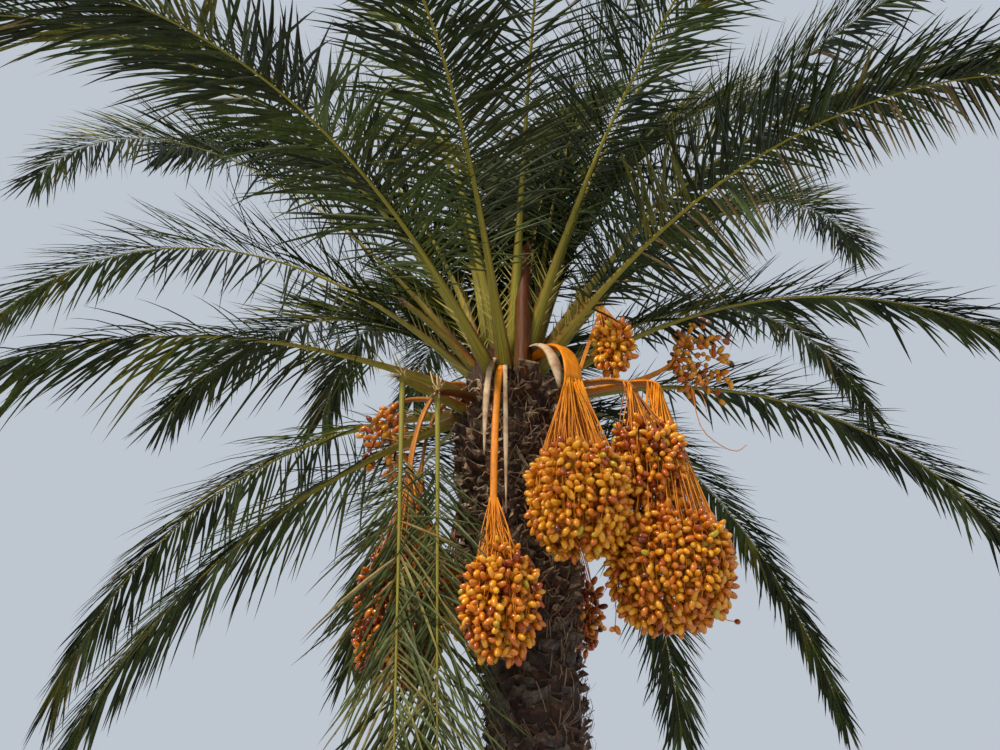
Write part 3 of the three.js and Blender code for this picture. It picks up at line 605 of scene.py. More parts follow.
def leaflet_blades(line, habit, rng, pitch, lost=0.0):
    """All leaflets of a frond as copies x corners x 3, with the share along the rib of each."""
    bare, leafy, toss = habit["bare"], LAST_LEAFLET - habit["bare"], habit["toss"]
    count = int(line.length * leafy / pitch)
    blades, places = [], []
    for sign in (1, -1):
        steps = (np.arange(count) + 0.25 * (sign + 1) + rng.normal(0, 0.12, count)) / count
        shares = np.clip(bare + leafy * steps, bare, LEAFLET_LIMIT)
        grown = (shares - bare) / (1 - bare)
        point, along, left, over = line.at(shares)
        edge = rib_half_width(lost + shares * line.length, shares)[:, None]
        point = point + sign * left * edge * LEAFLET_SEAT
        angle = habit["base_angle"] + (habit["tip_angle"] - habit["base_angle"]) * grown
        angle = np.radians(angle + rng.normal(0, toss, count))
        group = GROUP_RISES[np.arange(count) % 4] * (1 - 0.5 * grown)
        rise = np.radians(habit["rise"] + group + rng.normal(0, toss, count))
        size = np.minimum(FIRST_SIZE + grown / FULL_AFTER, 1) * (1 - TIP_LOSS * grown * grown)
        size = size * habit["length"] * (1 + rng.uniform(*SIZE_VARIES, count))
        hang = habit["hangs"] * (sign > 0) * np.clip((grown - HANGING["after"]) / HANGING["over"], 0, 1)
        size = size * (1 - HANGING["shorter"] * hang)
        aim = along * (np.cos(angle) * (1 - HANGING["inward"] * hang))[:, None]
        aim = aim + sign * left * (np.sin(angle) * np.cos(rise))[:, None]
        aim = aim + over * (np.sin(angle) * np.sin(rise))[:, None]
        aim[:, 2] -= habit["droop"] + HANGING["weight"] * hang
        aim /= np.linalg.norm(aim, axis=1, keepdims=True)
        tip_turn = np.radians(rng.normal(habit["turn"], toss * 2, count))[:, None]
        face_up = over * np.cos(tip_turn) - along * np.sin(tip_turn)
        across = np.cross(aim, face_up)
        across /= np.linalg.norm(across, axis=1, keepdims=True)
        up = np.cross(across, aim)
        broadened = FIRST_WIDTH + (1 - FIRST_WIDTH) * np.minimum(grown / WIDE_AFTER, 1)
        half = habit["width"] / 2 * broadened * rng.uniform(*WIDTH_VARIES, count)
        half = half * (1 - HANGING["slimmer"] * hang)
        sag = habit["sag"] * rng.uniform(*SAG_VARIES, count)
        curve = rng.normal(0, CURVE, count)
        rows = []
        for share, width in zip(BLADE_SHARES, BLADE_WIDTHS):
            middle = point + aim * (size * share)[:, None]
            middle[:, 2] -= size * sag * share * share
            middle = middle + across * (size * curve * share * share)[:, None]
            side_step = across * (half * width * math.cos(FOLD))[:, None]
            lift = up * (half * width * math.sin(FOLD))[:, None]
            rows += [middle - side_step + lift, middle, middle + side_step + lift] if width else [middle]
        blades.append(np.stack(rows, 1))
        places.append(grown)
    return np.concatenate(blades), np.concatenate(places)


def spray_tints(grown, rng, weights):
    """Deals one of the greens to each short run of leaflets, and a few dry ones near the tip."""
    runs = np.arange(len(grown)) // SPRAY
    dealt = rng.choice(len(weights), runs[-1] + 1, p=weights)
    dry = rng.random(len(grown)) < DRY_SHARE + DRY_AT_TIP * grown ** 4
    return np.where(dry, len(weights), dealt[runs])


def leaflet_material(name, light, dark):
    """Palm leaflet: tough, faintly waxy blade whose bloom turns the green grey in places."""
    blade = Finish(name, Roughness=0.48, Specular_IOR_Level=0.22)
    bloom = blade.work_out("ADD", blade.noise(blade.place, 11, 3), blade.noise(blade.place, 90, 2))
    return blade.done(blade.mix(blade.ramp(bloom, 0.7, 1.3), dark, light))


leaf_mats = [
    leaflet_material("Leaflet dark green", "#28330a", "#101604"),
    leaflet_material("Leaflet mid green", "#3f4d14", "#1c2608"),
    leaflet_material("Leaflet grey green", "#5a683a", "#2f3a1c"),
    leaflet_material("Leaflet olive", "#6a6a22", "#38380c"),
    leaflet_material("Leaflet dry straw", "#8c7a4c", "#5a482a"),
]
BLADE_FACES = blade_faces()
for order, (side, rows) in enumerate(crown.items()):
    blades, tints = [], []
    for k, row in enumerate(rows):
        rng = np.random.default_rng(SIDE_SEED * order + k)
        hangs = row[0] == HANGING_ROW
        habit = dict(CROWN_HABIT, width=WIDTHS[side], bare=BARE[side], hangs=hangs)
        habit.update(OTHER_HABITS.get(row[0], {}))
        found, grown = leaflet_blades(lines[row[0]], habit, rng, PITCHES[side])
        weights = GREENS + YOUNG_GREENS * clamp(row[2] / UPRIGHT)
        dealt = spray_tints(grown, rng, weights / weights.sum())
        far_row = np.arange(len(grown)) < len(grown) / 2
        drying = far_row & (rng.random(len(grown)) < HANGING["dry"] * hangs * grown ** 0.5)
        blades.append(found)
        tints.append(np.where(drying, len(weights), dealt))
    mesh = joined_copies(np.concatenate(blades), BLADE_FACES, np.concatenate(tints))
    new_piece(f"leaflets_{side}", mesh, leaf_mats, nodes_of(rows))


# Spines
# Between the bare foot of a frond and its first leaflets stand stiff needle-sharp spines, leaflets
# that never opened. They are yellow-green and stand in two rows along the edges.
SPINE_LENGTH = 0.095
SPINE_RADIUS = 0.0034
SPINES_PER_SIDE = 8
SPINE_FROM, SPINE_TO = 0.045, 0.115  # shares of the rib
SPINE_SIDEWAYS, SPINE_UPWARDS, SPINE_LENGTHS = (0.5, 0.9), (0.0, 0.5), (0.8, 1.1)
spine_corner = np.array([[0, 1, 0], [0, -0.5, 0.87], [0, -0.5, -0.87]]) * SPINE_RADIUS
spine_shape = np.concatenate([spine_corner, [[1, 0, 0]]])
spine_faces = [[0, 1, 3], [1, 2, 3], [2, 0, 3]]
spine_mat = dry_strip("Frond spine yellow green", "#b3a95c", "#7c7a34")
rng = np.random.default_rng(7)
spines = []
for row in FRONDS:
    line = lines[row[0]]
    for sign in (1, -1):
        shares = np.linspace(SPINE_FROM, SPINE_TO, SPINES_PER_SIDE)
        shares = shares + rng.normal(0, 0.003, SPINES_PER_SIDE)
        point, along, left, over = line.at(shares)
        edge = rib_half_width(shares * line.length, shares)
        for i in range(SPINES_PER_SIDE):
            aim = along[i] * 0.75 + sign * left[i] * rng.uniform(*SPINE_SIDEWAYS)
            aim = aim + over[i] * rng.uniform(*SPINE_UPWARDS)
            aim = aim / np.linalg.norm(aim)
            other = np.cross(aim, over[i])
            other /= np.linalg.norm(other)
            axes = np.array([aim, other, np.cross(aim, other)])
            length = SPINE_LENGTH * (0.5 + 0.9 * i / SPINES_PER_SIDE) * rng.uniform(*SPINE_LENGTHS)
            foot = point[i] + sign * left[i] * edge[i] * 0.85
            spines.append(foot + (spine_shape * [length, 1, 1]) @ axes)
mesh = joined_copies(np.array(spines), spine_faces, np.zeros(len(spines), int))
new_piece("frond_spines", mesh, [spine_mat])


# Broken fronds
# Two fronds on the left of the fruiting side have snapped at the foot and hang straight down. Their
# ribs are still yellow-green, and their leaflets droop against them and have gone grey.
# Name, azimuth, rise, bend, sway, length, and its start from the hub
HUNG = [
    ("frond_hanging_left", 75, -86.5, 0, 0, 2.00, (-0.383, -0.305, -0.119)),
    ("frond_hanging_right", 72, -86, 0, 0, 1.75, (-0.256, -0.328, -0.186)),
]
HUNG_LOST = 0.56  # length of foot that stayed on the palm
HUNG_PITCH = 0.0142
HUNG_SEED = 500
HUNG_GREENS = [0.40, 0.38, 0.10, 0.12]
HUNG_HABIT = dict(
    length=0.37, bare=0.16, base_angle=58, tip_angle=24, rise=8, droop=0.12, sag=0.20, turn=40, toss=13,
    width=0.0118, hangs=False)
hung_rib_mat = rib_material("Broken frond rib pale green", "#96903a", "#5e5c20", "#7c4418", 0.14)
hung_mats = [
    leaflet_material("Hanging leaflet green", "#424c20", "#20280c"),
    leaflet_material("Hanging leaflet grey green", "#626a3c", "#343c20"),
    leaflet_material("Hanging leaflet pale", "#8a8450", "#56522e"),
    leaflet_material("Hanging leaflet olive", "#7c7230", "#48421a"),
    leaf_mats[4],
]
bm = start_shape()
blades, tints = [], []
for k, row in enumerate(HUNG):
    line = RibLine(*row[1:])
    add_rib(bm, line, HUNG_LOST, butt=0)
    rng = np.random.default_rng(HUNG_SEED + k)
    found, grown = leaflet_blades(line, HUNG_HABIT, rng, HUNG_PITCH, HUNG_LOST)
    blades.append(found)
    tints.append(spray_tints(grown, rng, HUNG_GREENS))
hung_names = [row[0] for row in HUNG]
new_piece("frond_ribs_hanging", finished_mesh(bm), [hung_rib_mat], hung_names)
mesh = joined_copies(np.concatenate(blades), BLADE_FACES, np.concatenate(tints))
new_piece("leaflets_hanging", mesh, hung_mats, hung_names)


# Petiole stubs
# Where fronds were cut or have broken, short lengths of their feet are left standing on the bud. They
# are still green or have dried to orange brown, and end in a pale fibrous break.
# Name, azimuth, rise, bend, length, width, end width, tint, and the start from the hub of one set apart
STUBS = [
    ("petiole_stub_centre", 275, 82, 0, 0.520, 0.072, 0.056, 1, (0.046, -0.168, -0.040)),
    ("petiole_stub_left_high", 196, 46, 12, 0.370, 0.066, 0.028, 0, None),
    ("petiole_stub_left", 222, 4, 0, 0.300, 0.060, 0.040, 0, (-0.170, -0.115, -0.150)),
    ("petiole_stub_low", 232, -10, 20, 0.235, 0.052, 0.038, 1, None),
]
stub_mats = [
    rib_material("Cut petiole green", "#8c822c", "#4c4818", "#8a4410", 1.4),
    rib_material("Cut petiole orange brown", "#6c3508", "#180c03", "#66601c", 0.95, 0.55),
]
STUB_STEPS = 12
bm = start_shape()
for _, azimuth, rise, bend, length, width, end, tint, start in STUBS:
    line = RibLine(azimuth, rise, bend, 0, length, start)
    add_rib(bm, line, material_index=tint, steps=STUB_STEPS,
            widths=lambda shares, a=width, b=end: (a + (b - a) * np.sqrt(shares)) / 2)
new_piece("petiole_stubs", finished_mesh(bm), stub_mats, [row[0] for row in STUBS])


# Torn fibre
# A petiole that snaps or is cut leaves a brush of its own pale fibres at the break. A few long ones
# still join the right broken frond to its foot.
TORN_PER_END = 34
HUNG_END = 0.024  # width of the brush where a hanging frond begins
TORN_LENGTHS, TORN_HALVES, BROWN_SHARE = (0.015, 0.055), (0.0010, 0.0026), 0.45
TIE_HALF, TIE_SIDE = 0.0026, (0.75, 0.0, 0.66)
LAST_TIES = [
    [(-0.256, -0.328, -0.196), (-0.262, -0.318, -0.120), (-0.215, -0.290, -0.075), (-0.150, -0.225, -0.090)],
    [(-0.250, -0.330, -0.230), (-0.246, -0.322, -0.140), (-0.205, -0.285, -0.100), (-0.160, -0.215, -0.125)],
    [(-0.262, -0.326, -0.210), (-0.285, -0.315, -0.110), (-0.236, -0.290, -0.050), (-0.140, -0.200, -0.050)],
]
torn_rng = np.random.default_rng(61)


def ribbon(points, side, half):
    """A flat ribbon through four points, a little rolled towards its end."""
    points = np.array(points)
    offset = np.array(side) * half * np.array([1.0, 1.0, 0.8, 0.3])[:, None]
    return np.concatenate([points - offset, points + offset])


def torn_brush(point, out, across, width):
    """Short fibres that stand out of a break in all directions and bend down under their weight."""
    sink, scatter, droop = 0.012, 0.32, 0.35
    found = []
    for _ in range(TORN_PER_END):
        aim = out + torn_rng.normal(0, scatter, 3)
        foot = point - out * sink + across * width * 0.42 * torn_rng.uniform(-1, 1)
        length = torn_rng.uniform(*TORN_LENGTHS)
        places = [foot + aim * length * s - np.array([0, 0, droop * length * s * s]) for s in strip_t]
        found.append(ribbon(places, across, torn_rng.uniform(*TORN_HALVES)))
    return found


torn = []
for _, azimuth, rise, bend, length, _, end, _, start in STUBS:
    point, along, left, _ = RibLine(azimuth, rise, bend, 0, length, start).at([1.0])
    torn += torn_brush(point[0], along[0], left[0], end)
for row in HUNG:
    point, along, left, _ = RibLine(*row[1:]).at([0.0])
    torn += torn_brush(point[0], -along[0], left[0], HUNG_END)
for points in LAST_TIES:
    torn.append(ribbon(np.array(points) + np.array(HUB), TIE_SIDE, TIE_HALF))
torn_mats = [
    dry_strip("Torn petiole fibre pale", "#cbb890", "#8e7650"),
    dry_strip("Torn petiole fibre brown", "#8a6238", "#4c3018"),
]
torn_tints = (torn_rng.random(len(torn)) < BROWN_SHARE).astype(int)
torn_tints[-len(LAST_TIES):] = 0
new_piece("torn_fibre", joined_copies(np.array(torn), strip_faces, torn_tints), torn_mats)


# Fruit stalks and strands
# Each bunch hangs from one flat waxy orange stalk, which arches out between the fronds. At its end
# the stalk frays into dozens of thin strands that run down into the fruit.
# Name, azimuth, height, arch, drop, strap width, fork, middle, radii, strands, ripeness, shoulder: how
# flat its top is, frayed: the share of the stalk's end from which strands leave
BUNCHES = [
    ("front", 303, 0.020, 0.080, 0.150, 0.072,
     (0.222, -0.318, -0.150), (0.222, -0.352, -0.630), (0.168, 0.148, 0.200), 125, 0, 0.55, 0.05),
    ("front_left", 262, -0.010, 0.070, 0.420, 0.037,
     (-0.060, -0.318, -0.715), (-0.036, -0.330, -0.962), (0.126, 0.116, 0.208), 90, 1, 1.10, 0.11),
    ("right_upper", 326, -0.075, 0.005, 0.060, 0.044,
     (0.440, -0.285, -0.178), (0.468, -0.274, -0.460), (0.132, 0.100, 0.185), 84, 2, 0.80, 0.35),
    ("right_lower", 338, -0.085, 0.000, 0.070, 0.050,
     (0.540, -0.238, -0.150), (0.527, -0.235, -0.818), (0.208, 0.180, 0.220), 150, 1, 0.70, 0.30),
    ("right_top", 334, 0.080, 0.260, 0.060, 0.026,
     (0.345, -0.180, 0.250), (0.384, -0.182, 0.062), (0.074, 0.064, 0.124), 44, 1, 0.60, 0.30),
    ("left", 208, -0.060, 0.110, 0.260, 0.044,
     (-0.362, -0.140, -0.500), (-0.372, -0.090, -0.935), (0.155, 0.105, 0.265), 90, 3, 0.80, 0.15),
    ("left_inner", 190, -0.070, 0.090, 0.180, 0.040,
     (-0.330, 0.070, -0.330), (-0.345, 0.085, -0.650), (0.095, 0.095, 0.150), 30, 2, 0.80, 0.15),
    ("back_right", 62, -0.060, 0.080, 0.260, 0.040,
     (0.215, 0.262, -0.440), (0.256, 0.272, -0.806), (0.088, 0.085, 0.158), 30, 3, 0.80, 0.15),
    ("back_left", 128, -0.060, 0.090, 0.200, 0.044,
     (-0.170, 0.300, -0.330), (-0.185, 0.330, -0.700), (0.120, 0.115, 0.170), 45, 2, 0.80, 0.15),
]
SPARSE = [
    ("far_left", 170, -0.080, 0.090, 0.040, 0.024,
     (-0.440, 0.060, -0.060), (-0.480, 0.090, -0.215), (0.090, 0.070, 0.120), 14, 2, 1.0, 0.10),
    ("far_right", 12, -0.040, 0.060, -0.060, 0.024,
     (0.640, 0.040, 0.160), (0.765, 0.090, 0.175), (0.120, 0.080, 0.190), 18, 1, 1.0, 0.10),
]
# Long strands that hang out of a bunch, bare but for a date or two at the end where the bunch is dense
STRAYS = {
    "right_top": [
        [(0.205 + k, -0.200, -0.130), (0.240 + k, -0.232, -0.084), (0.294 + k, -0.224, 0.079),
         (0.336 + k, -0.200, 0.200), (0.356 + k, -0.182, 0.180)] for k in (-0.005, -0.0015, 0.002, 0.0055)
    ],
    "front": [
        [(0.200, -0.340, -0.740), (0.226, -0.335, -0.780), (0.235, -0.330, -0.820)],
    ],
    "right_lower": [
        [(0.372, -0.240, -0.760), (0.334, -0.240, -0.860), (0.338, -0.242, -0.960), (0.330, -0.240, -1.030)],
        [(0.620, -0.240, -0.900), (0.680, -0.240, -0.985), (0.730, -0.236, -1.000)],
    ],
    "far_right": [
        [(0.700, 0.050, 0.050), (0.722, 0.050, -0.137), (0.790, 0.050, -0.218), (0.848, 0.050, -0.243),
         (0.888, 0.050, -0.218)],
        [(0.690, 0.060, 0.100), (0.745, 0.060, -0.010), (0.752, 0.060, -0.070)],
    ],
}
NARROWING = {"front_left": 0.45}  # this stalk slims on its way down
STALK_THICKNESS = 0.014
STALK_BUTT = 0.04  # of the stalk hidden in the bud
GOLDEN_TURN = 2.39996  # radians from one strand to the next round a bunch
OUTER_TOPS, INNER_TOPS, LOW_ENDS = (46, 66), (8, 44), (110, 172)  # degrees down a dense bunch's skin
UNDERSIDE = 0.85  # a bunch's own shoulder, below its middle
ROOT_SPREAD = 0.42  # of the strap's width, to both sides
STRAND_LAYERS = (0.018, 0.026, 0.042, 0.066, 0.095)  # depths below the skin of a dense bunch
STALK_SIDES, STALK_STEPS = 12, 20
STALK_RIBS, STALK_RELIEF, STALK_FLATNESS = 6, 0.10, 0.6
SHOULDER_AT = 0.6  # of the way from the bud to the fork
STRAND_RADIUS, STRAND_TAPER = 0.0022, 0.35
STRAND_SIDES, STRAND_STEPS = 5, 12
DATE_LENGTH = 0.038
DATE_WIDTH = 0.0245
DATE_SPACING = 0.0222  # least distance between two dates' middles
DATE_SCATTER, DATE_DROOP = 0.62, 0.18  # of their directions
DATE_SIZES, DATE_STRETCHES = (0.86, 1.10), (0.94, 1.08)
BUNCH_SEED = 900
DATE_STEP = 0.013  # between two places on a strand where a date is tried


def stalk_points(azimuth, height, arch, drop, end, steps):
    """The stalk's middle line, from inside the bud over its shoulder and down to end."""
    start = HUB + Vector(on_cone(azimuth, clamp((height - CONE_FOOT) / CONE_HEIGHT), height))
    shoulder = start.lerp(end, SHOULDER_AT)
    shoulder.z = start.z + arch
    above = Vector((end.x, end.y, end.z + drop))
    start -= compass(math.radians(azimuth))[0] * STALK_BUTT
    found = []
    for k in range(steps + 1):
        t = k / steps
        found.append(start * (1 - t) ** 3 + shoulder * 3 * t * (1 - t) ** 2
                     + above * 3 * t * t * (1 - t) + end * t ** 3)
    return found


def along_path(points, station):
    """Direction of a path at one of its points."""
    low, high = max(station - 1, 0), min(station + 1, len(points) - 1)
    return (points[high] - points[low]).normalized()


def add_strap(bm, points, azimuth, half_width, half_depth, material_index):
    """A flat waxy stalk, faintly ribbed, as wide and as deep as half_width and half_depth say."""
    _, across = compass(math.radians(azimuth))
    steps = len(points) - 1

    def place(around, share):
        station = round(share * steps)
        over = along_path(points, station).cross(across).normalized()
        angle = 2 * math.pi * (around % 1.0)
        flat = math.copysign(abs(math.sin(angle)) ** STALK_FLATNESS, math.sin(angle))
        ribbed = 1 + STALK_RELIEF * math.cos(STALK_RIBS * angle)
        return points[station] + across * half_width(share) * math.cos(angle) \
            + over * half_depth(share) * flat * ribbed

    roll_tube(bm, STALK_SIDES, steps, place, material_index)


def add_strand(bm, points, material_index):
    """A round strand that thins a little towards its end."""
    steps = len(points) - 1
    any_side = Vector((0.31, 0.17, 0.93))  # no strand runs this way

    def place(around, share):
        station = round(share * steps)
        along = along_path(points, station)
        side = along.cross(any_side).normalized()
        angle = 2 * math.pi * (around % 1.0)
        reach = STRAND_RADIUS * (1 - STRAND_TAPER * share)
        return points[station] + side * reach * math.cos(angle) + along.cross(side) * reach * math.sin(angle)

    roll_tube(bm, STRAND_SIDES, steps, place, material_index)


def smooth_path(points, steps):
    """A curve through a few given points, evenly spread."""
    given = [Vector(p) for p in points]
    ends = [given[0] * 2 - given[1]] + given + [given[-1] * 2 - given[-2]]
    found = []
    for k in range(steps + 1):
        t = k / steps * (len(given) - 1)
        i = min(int(t), len(given) - 2)
        u = t - i
        a, b, c, d = ends[i:i + 4]
        found.append(0.5 * (2 * b + (c - a) * u + (2 * a - 5 * b + 4 * c - d) * u * u
                            + (3 * b - a - 3 * c + d) * u ** 3))
    return found


def bell_point(radii, turn, polar, shoulder):
    """A place on a bunch's skin; the lower shoulder is, the flatter and broader its top."""
    power = shoulder if polar < math.pi / 2 else UNDERSIDE
    wide = math.sin(polar) ** power
    high = math.copysign(abs(math.cos(polar)) ** power, math.cos(polar))
    return Vector((radii[0] * wide * math.cos(turn), radii[1] * wide * math.sin(turn), radii[2] * high))


def mass_strands(row, stalk, rng):
    """Strands that leave the stalk's frayed end and run down a dense bunch's skin and inside it."""
    azimuth, strap, _, middle, radii, count, _, shoulder, frayed = row[1], *row[5:]
    middle, radii = HUB + Vector(middle), Vector(radii)
    _, across = compass(math.radians(azimuth))
    last = len(stalk) - 1
    strap *= 1 - NARROWING.get(row[0], 0)
    strands = []
    for i in range(count):
        inner = [max(r - STRAND_LAYERS[i % 5], 0.03) for r in radii]
        heading = GOLDEN_TURN * i + rng.normal(0, 0.12)
        side = across.dot(compass(heading)[0])
        station = last - round(last * frayed * rng.random() ** 1.5)
        root = stalk[station] + across * (strap * ROOT_SPREAD * side + rng.normal(0, 0.004))
        root.z -= rng.uniform(0, 0.006)
        start_polar = math.radians(rng.uniform(*OUTER_TOPS if i % 3 else INNER_TOPS))
        end_polar = math.radians(rng.uniform(*LOW_ENDS))
        path = [root]
        top = middle + bell_point(inner, heading, start_polar, shoulder)
        path.append(root.lerp(top, 0.5) + across * rng.normal(0, 0.007))
        for k in range(5):
            polar = start_polar + (end_polar - start_polar) * k / 4
            path.append(middle + bell_point(inner, heading + rng.normal(0, 0.06), polar, shoulder))
        strands.append((smooth_path(path, STRAND_STEPS), STRAND_STEPS // 3))
    return strands


def loose_strands(row, stalk, rng):
    """Strands of a sparse bunch, which arch out and hang free."""
    middle, radii, count, shoulder = row[7], row[8], row[9], row[11]
    middle, radii = HUB + Vector(middle), Vector(radii)
    strands = []
    for i in range(count):
        polar = math.acos(1 - 2 * (i + 0.5) / count)
        end = middle + bell_point(radii, GOLDEN_TURN * i, polar, shoulder)
        half = stalk[-1].lerp(end, 0.5) + Vector((rng.normal(0, 0.01), rng.normal(0, 0.01), 0.035))
        strands.append((smooth_path([stalk[-1], half, end], STRAND_STEPS), STRAND_STEPS // 3))
    return strands


def dates_along(strands, middle, rng):
    """Feet and directions of the dates that the strands carry from their first fruiting point on."""
    feet, aims, centres = [], [], np.empty((0, 3))
    for points, first in strands:
        lengths = np.cumsum([0] + [(b - a).length for a, b in zip(points, points[1:])])
        reach = lengths[first]
        while reach <= lengths[-1]:
            k = min(int(np.searchsorted(lengths, reach)), len(points) - 1)
            low = max(k - 1, 0)
            span = max(lengths[k] - lengths[low], 1e-6)
            foot = points[low].lerp(points[k], clamp((reach - lengths[low]) / span))
            outward = (foot - middle).normalized()
            aim = outward * 0.7 + Vector(rng.normal(0, DATE_SCATTER, 3)) + Vector((0, 0, -DATE_DROOP))
            aim.normalize()
            centre = np.array(foot + aim * DATE_LENGTH * 0.55)
            apart = np.linalg.norm(centres - centre, axis=1)
            if not len(centres) or apart.min() > DATE_SPACING:
                centres = np.vstack([centres, centre])
                feet.append(foot)
                aims.append(aim)
            reach += DATE_STEP * rng.uniform(0.7, 1.3)
    return feet, aims


def waxy_orange(name, bright, deep, rough):
    """Living fruit stalk: waxy skin, orange with browner lengthwise streaks and blotches."""
    stalk = Finish(name, Roughness=rough, Specular_IOR_Level=0.3)
    streak = stalk.noise(stalk.drawn_out(stalk.place, 1, 1, 0.18), 120, 4)
    blotched = stalk.work_out("ADD", streak, stalk.noise(stalk.place, 14, 3))
    return stalk.done(stalk.mix(stalk.ramp(blotched, 0.75, 1.25), deep, bright), streak, 0.3, 0.002)


stalk_mats = [
    waxy_orange("Fruit stalk bright orange", "#da8608", "#b86402", 0.5),
    waxy_orange("Fruit stalk amber", "#b8741e", "#80480e", 0.48),
    waxy_orange("Fruit strand orange", "#e4961a", "#b8640a", 0.5),
    waxy_orange("Fruit strand brown", "#a8682a", "#6b3a12", 0.55),
]


# Dates
# Ripening dates are smooth plump ovals, about four centimetres long, on a pale cap at the stalk end.
# They turn from yellow through orange to brown-red, a few at a time, so every bunch is mixed.
def date_shape():
    """One date along +Z from its cap, with a slightly narrower free end."""
    slimming, cap_radius, cap_edge, cap_middle = 0.16, 0.0075, 0.0035, -0.003
    bm = bmesh.new()
    bmesh.ops.create_uvsphere(bm, u_segments=7, v_segments=5, radius=0.5)
    for vert in bm.verts:
        share = vert.co.z + 0.5
        slim = 1 - slimming * share
        vert.co = Vector((vert.co.x * DATE_WIDTH * slim, vert.co.y * DATE_WIDTH * slim, share * DATE_LENGTH))
    skin = len(bm.faces)
    cap = bmesh.ops.create_circle(bm, segments=5, radius=cap_radius, cap_ends=True, cap_tris=True)
    for vert in cap["verts"]:
        vert.co.z = cap_edge if vert.co.length > cap_radius / 2 else cap_middle
    bmesh.ops.recalc_face_normals(bm, faces=bm.faces)
    bm.faces.ensure_lookup_table()
    caps = range(skin, len(bm.faces))
    return *shape_arrays(bm), caps


def date_skin(name, main, blush, dark):
    """Ripening date: thin glossy skin over firm flesh, blotched where the sugar has come through."""
    skin = Finish(name, Roughness=0.28, Specular_IOR_Level=0.5, Coat_Weight=0.35, Coat_Roughness=0.14)
    blotched = skin.mix(skin.ramp(skin.noise(skin.place, 42, 3), 0.40, 0.66), main, blush)
    specks = skin.ramp(skin.noise(skin.place, 210, 3), 0.60, 0.78, 0.55)
    return skin.done(skin.mix(specks, blotched, dark))


date_mats = [
    date_skin("Date skin golden", "#e8a41c", "#d07e08", "#843f00"),
    date_skin("Date skin orange", "#d67e0e", "#b65804", "#6a2800"),
    date_skin("Date skin deep orange", "#b25206", "#863002", "#4a1600"),
    date_skin("Date skin brown red", "#7c3410", "#521c08", "#301004"),
    date_skin("Date skin yellow green", "#c4a824", "#a88c1c", "#7c6414"),
    dry_strip("Date cap pale", "#c8a85c", "#907038"),
]
# Shares of golden, orange, deep orange, brown red and yellow green, from the palest bunch to the ripest
RIPENESS = [
    [0.62, 0.28, 0.06, 0.01, 0.03],
    [0.46, 0.37, 0.13, 0.02, 0.02],
    [0.32, 0.40, 0.21, 0.05, 0.02],
    [0.06, 0.30, 0.36, 0.27, 0.01],
]
date_points, date_faces, date_caps = date_shape()
for k, row in enumerate(BUNCHES + SPARSE):
    name, azimuth, height, arch, drop, strap, fork, middle, _, _, ripeness, _, _ = row
    rng = np.random.default_rng(BUNCH_SEED + k)
    dense = row in BUNCHES
    path = stalk_points(azimuth, height, arch, drop, HUB + Vector(fork), STALK_STEPS)
    strands = mass_strands(row, path, rng) if dense else loose_strands(row, path, rng)
    strays = [smooth_path([HUB + Vector(p) for p in points], STRAND_STEPS) for points in STRAYS.get(name, [])]
    bm = start_shape()
    brown = ripeness > 1
    slimming = NARROWING.get(name, 0)
    add_strap(bm, path, azimuth,
              lambda share, w=strap, slim=slimming: w / 2 * (0.92 + 0.22 * share ** 3 - slim * share),
              lambda share: STALK_THICKNESS / 2 * (1.25 - 0.6 * share ** 2), int(brown))
    for points in [points for points, _ in strands] + strays:
        add_strand(bm, points, 2 + int(brown and rng.random() < 0.6))
    if dense:
        strands += [(points, STRAND_STEPS - 1) for points in strays]
    new_piece(f"strands_{name}", finished_mesh(bm), stalk_mats, [f"date_bunch_{name}"])

    feet, aims = dates_along(strands, HUB + Vector(middle), rng)
    copies = np.empty((len(feet), *date_points.shape))
    for i, (foot, aim) in enumerate(zip(feet, aims)):
        turned = aim.to_track_quat("Z", "Y").to_matrix()
        size = rng.uniform(*DATE_SIZES) * np.array([1, 1, rng.uniform(*DATE_STRETCHES)])
        copies[i] = (date_points * size) @ np.array(turned).T + np.array(foot)
    tints = rng.choice(5, len(feet), p=RIPENESS[ripeness])
    mesh = joined_copies(copies, date_faces, tints, date_caps, len(date_mats) - 1, smooth=True)
    new_piece(f"dates_{name}", mesh, date_mats, [f"date_bunch_{name}"])


# Dry sheaths
# Each fruit stalk grew out of a long woody sheath, which splits and stays on as a pale curled trough.
# It is smooth, pinkish tan and stained with brown.
# Node, azimuth, height, arch, drop, width and end; the left one has split into two strips
SPATHES = [
    ("spathe_left", 255, 0.010, 0.060, 0.300, 0.024, (-0.092, -0.318, -0.440)),
    ("spathe_right", 298, 0.062, 0.050, 0.120, 0.052, (0.168, -0.340, -0.190)),
    ("spathe_left", 261, 0.000, 0.070, 0.380, 0.017, (-0.018, -0.330, -0.660)),
]
SPATHE_STEPS = 18
SHEATH_HALF_ROUND = 7  # steps across the trough, once outside and once inside
SHEATH_THICKNESS = 0.0025


def dry_sheath():
    """Split woody sheath: pinkish tan with fine lengthwise grain and brown stains."""
    sheath = Finish("Dry fruit sheath", Roughness=0.75)
    grain = sheath.noise(sheath.drawn_out(sheath.place, 1, 1, 0.12), 190, 5)
    stained = sheath.ramp(sheath.noise(sheath.place, 16, 3), 0.44, 0.66, 0.8)
    colour = sheath.mix(stained, sheath.mix(grain, "#8a6e52", "#d2bd9c"), "#7e583e")
    return sheath.done(colour, grain, 0.5, 0.003)


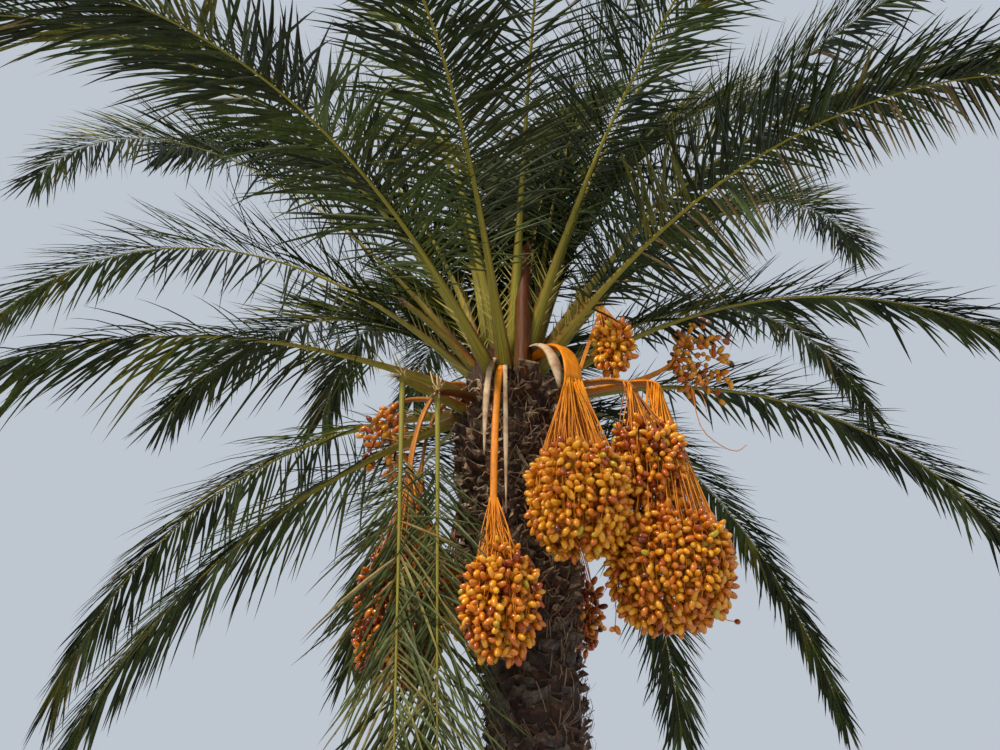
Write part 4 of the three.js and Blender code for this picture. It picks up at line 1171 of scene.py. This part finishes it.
def add_sheath(bm, points, azimuth, width):
    """A trough that keeps its width, then closes to a point, a few millimetres thick."""
    _, across = compass(math.radians(azimuth))
    steps = len(points) - 1
    full_round = 2 * SHEATH_HALF_ROUND
    spanned, closing_from, closing_over, closed, wave = 0.75, 0.7, 0.3, 0.85, 0.12

    def place(around, share):
        station = round(share * steps)
        over = along_path(points, station).cross(across).normalized()
        corner = round(around * full_round) % full_round
        inside = corner > SHEATH_HALF_ROUND
        swing = (full_round - corner if inside else corner) / SHEATH_HALF_ROUND
        angle = math.pi * (swing - 0.5) * spanned
        half = width / 2 * (1 - closed * max(share - closing_from, 0) / closing_over)
        half = half * (1 + wave * math.sin(9 * share))
        radius = half * 1.05 - (SHEATH_THICKNESS if inside else 0)
        cup = 0.55 * half
        return points[station] + across * radius * math.sin(angle) * 1.1 \
            + over * (radius * math.cos(angle) - cup)

    roll_tube(bm, full_round, steps, place)


bm = start_shape()
for _, azimuth, height, arch, drop, width, end in SPATHES:
    add_sheath(bm, stalk_points(azimuth, height, arch, drop, HUB + Vector(end), SPATHE_STEPS), azimuth, width)
new_piece("fruit_sheaths", finished_mesh(bm), [dry_sheath()], sorted({row[0] for row in SPATHES}))


# Floor, light and camera
# A plain pale studio, seen from below the crown and in front of it.
PHOTO_WIDTH, FOCAL_PIXELS = 1000, 1207
SENSOR_WIDTH = 36
EYE, UPWARD_VIEW = (-0.318, -4.008, 1.643), 30  # metres, then degrees above level
FLOOR_SIZE, FLOOR_GAP = 60, 0.001
bpy.ops.mesh.primitive_plane_add(size=FLOOR_SIZE, location=(0, 0, -FLOOR_GAP))
floor = bpy.context.object
floor.name = "studio_floor"
floor.data.materials.append(Finish("Studio floor", Roughness=0.9, Base_Color=linear("#c4c4c1")).material)

world = bpy.data.worlds.new("Pale studio")
world.use_nodes = True
sky = world.node_tree.nodes["Background"].inputs
sky["Color"].default_value = linear("#dfe8f4")
sky["Strength"].default_value = 0.70
bpy.context.scene.world = world
bpy.context.scene.view_settings.view_transform = "Standard"


def soft_light(name, place, aim, size, power, colour, spread):
    """A square softbox whose grid keeps its light within the spread, in degrees."""
    lamp = bpy.data.lights.new(name, "AREA")
    lamp.spread = math.radians(spread)
    lamp.size, lamp.energy, lamp.color = size, power, linear(colour)[:3]
    holder = bpy.data.objects.new(name, lamp)
    holder.location = place
    holder.rotation_euler = (Vector(aim) - Vector(place)).to_track_quat("-Z", "Y").to_euler()
    bpy.context.scene.collection.objects.link(holder)


soft_light("key_light", (-5.6, -7.0, 11.5), (-0.2, 0, 3.9),
           size=1.8, power=1560, colour="#fff0d8", spread=155)
soft_light("fill_light", (7.0, -6.0, 5.0), (-0.2, 0, 3.8),
           size=5.0, power=60, colour="#eaf1ff", spread=140)

camera_data = bpy.data.cameras.new("photo_camera")
camera_data.sensor_width = SENSOR_WIDTH
camera_data.lens = SENSOR_WIDTH * FOCAL_PIXELS / PHOTO_WIDTH
camera = bpy.data.objects.new("photo_camera", camera_data)
camera.location = EYE
camera.rotation_euler = (math.radians(90 + UPWARD_VIEW), 0, 0)
bpy.context.scene.collection.objects.link(camera)
bpy.context.scene.camera = camera
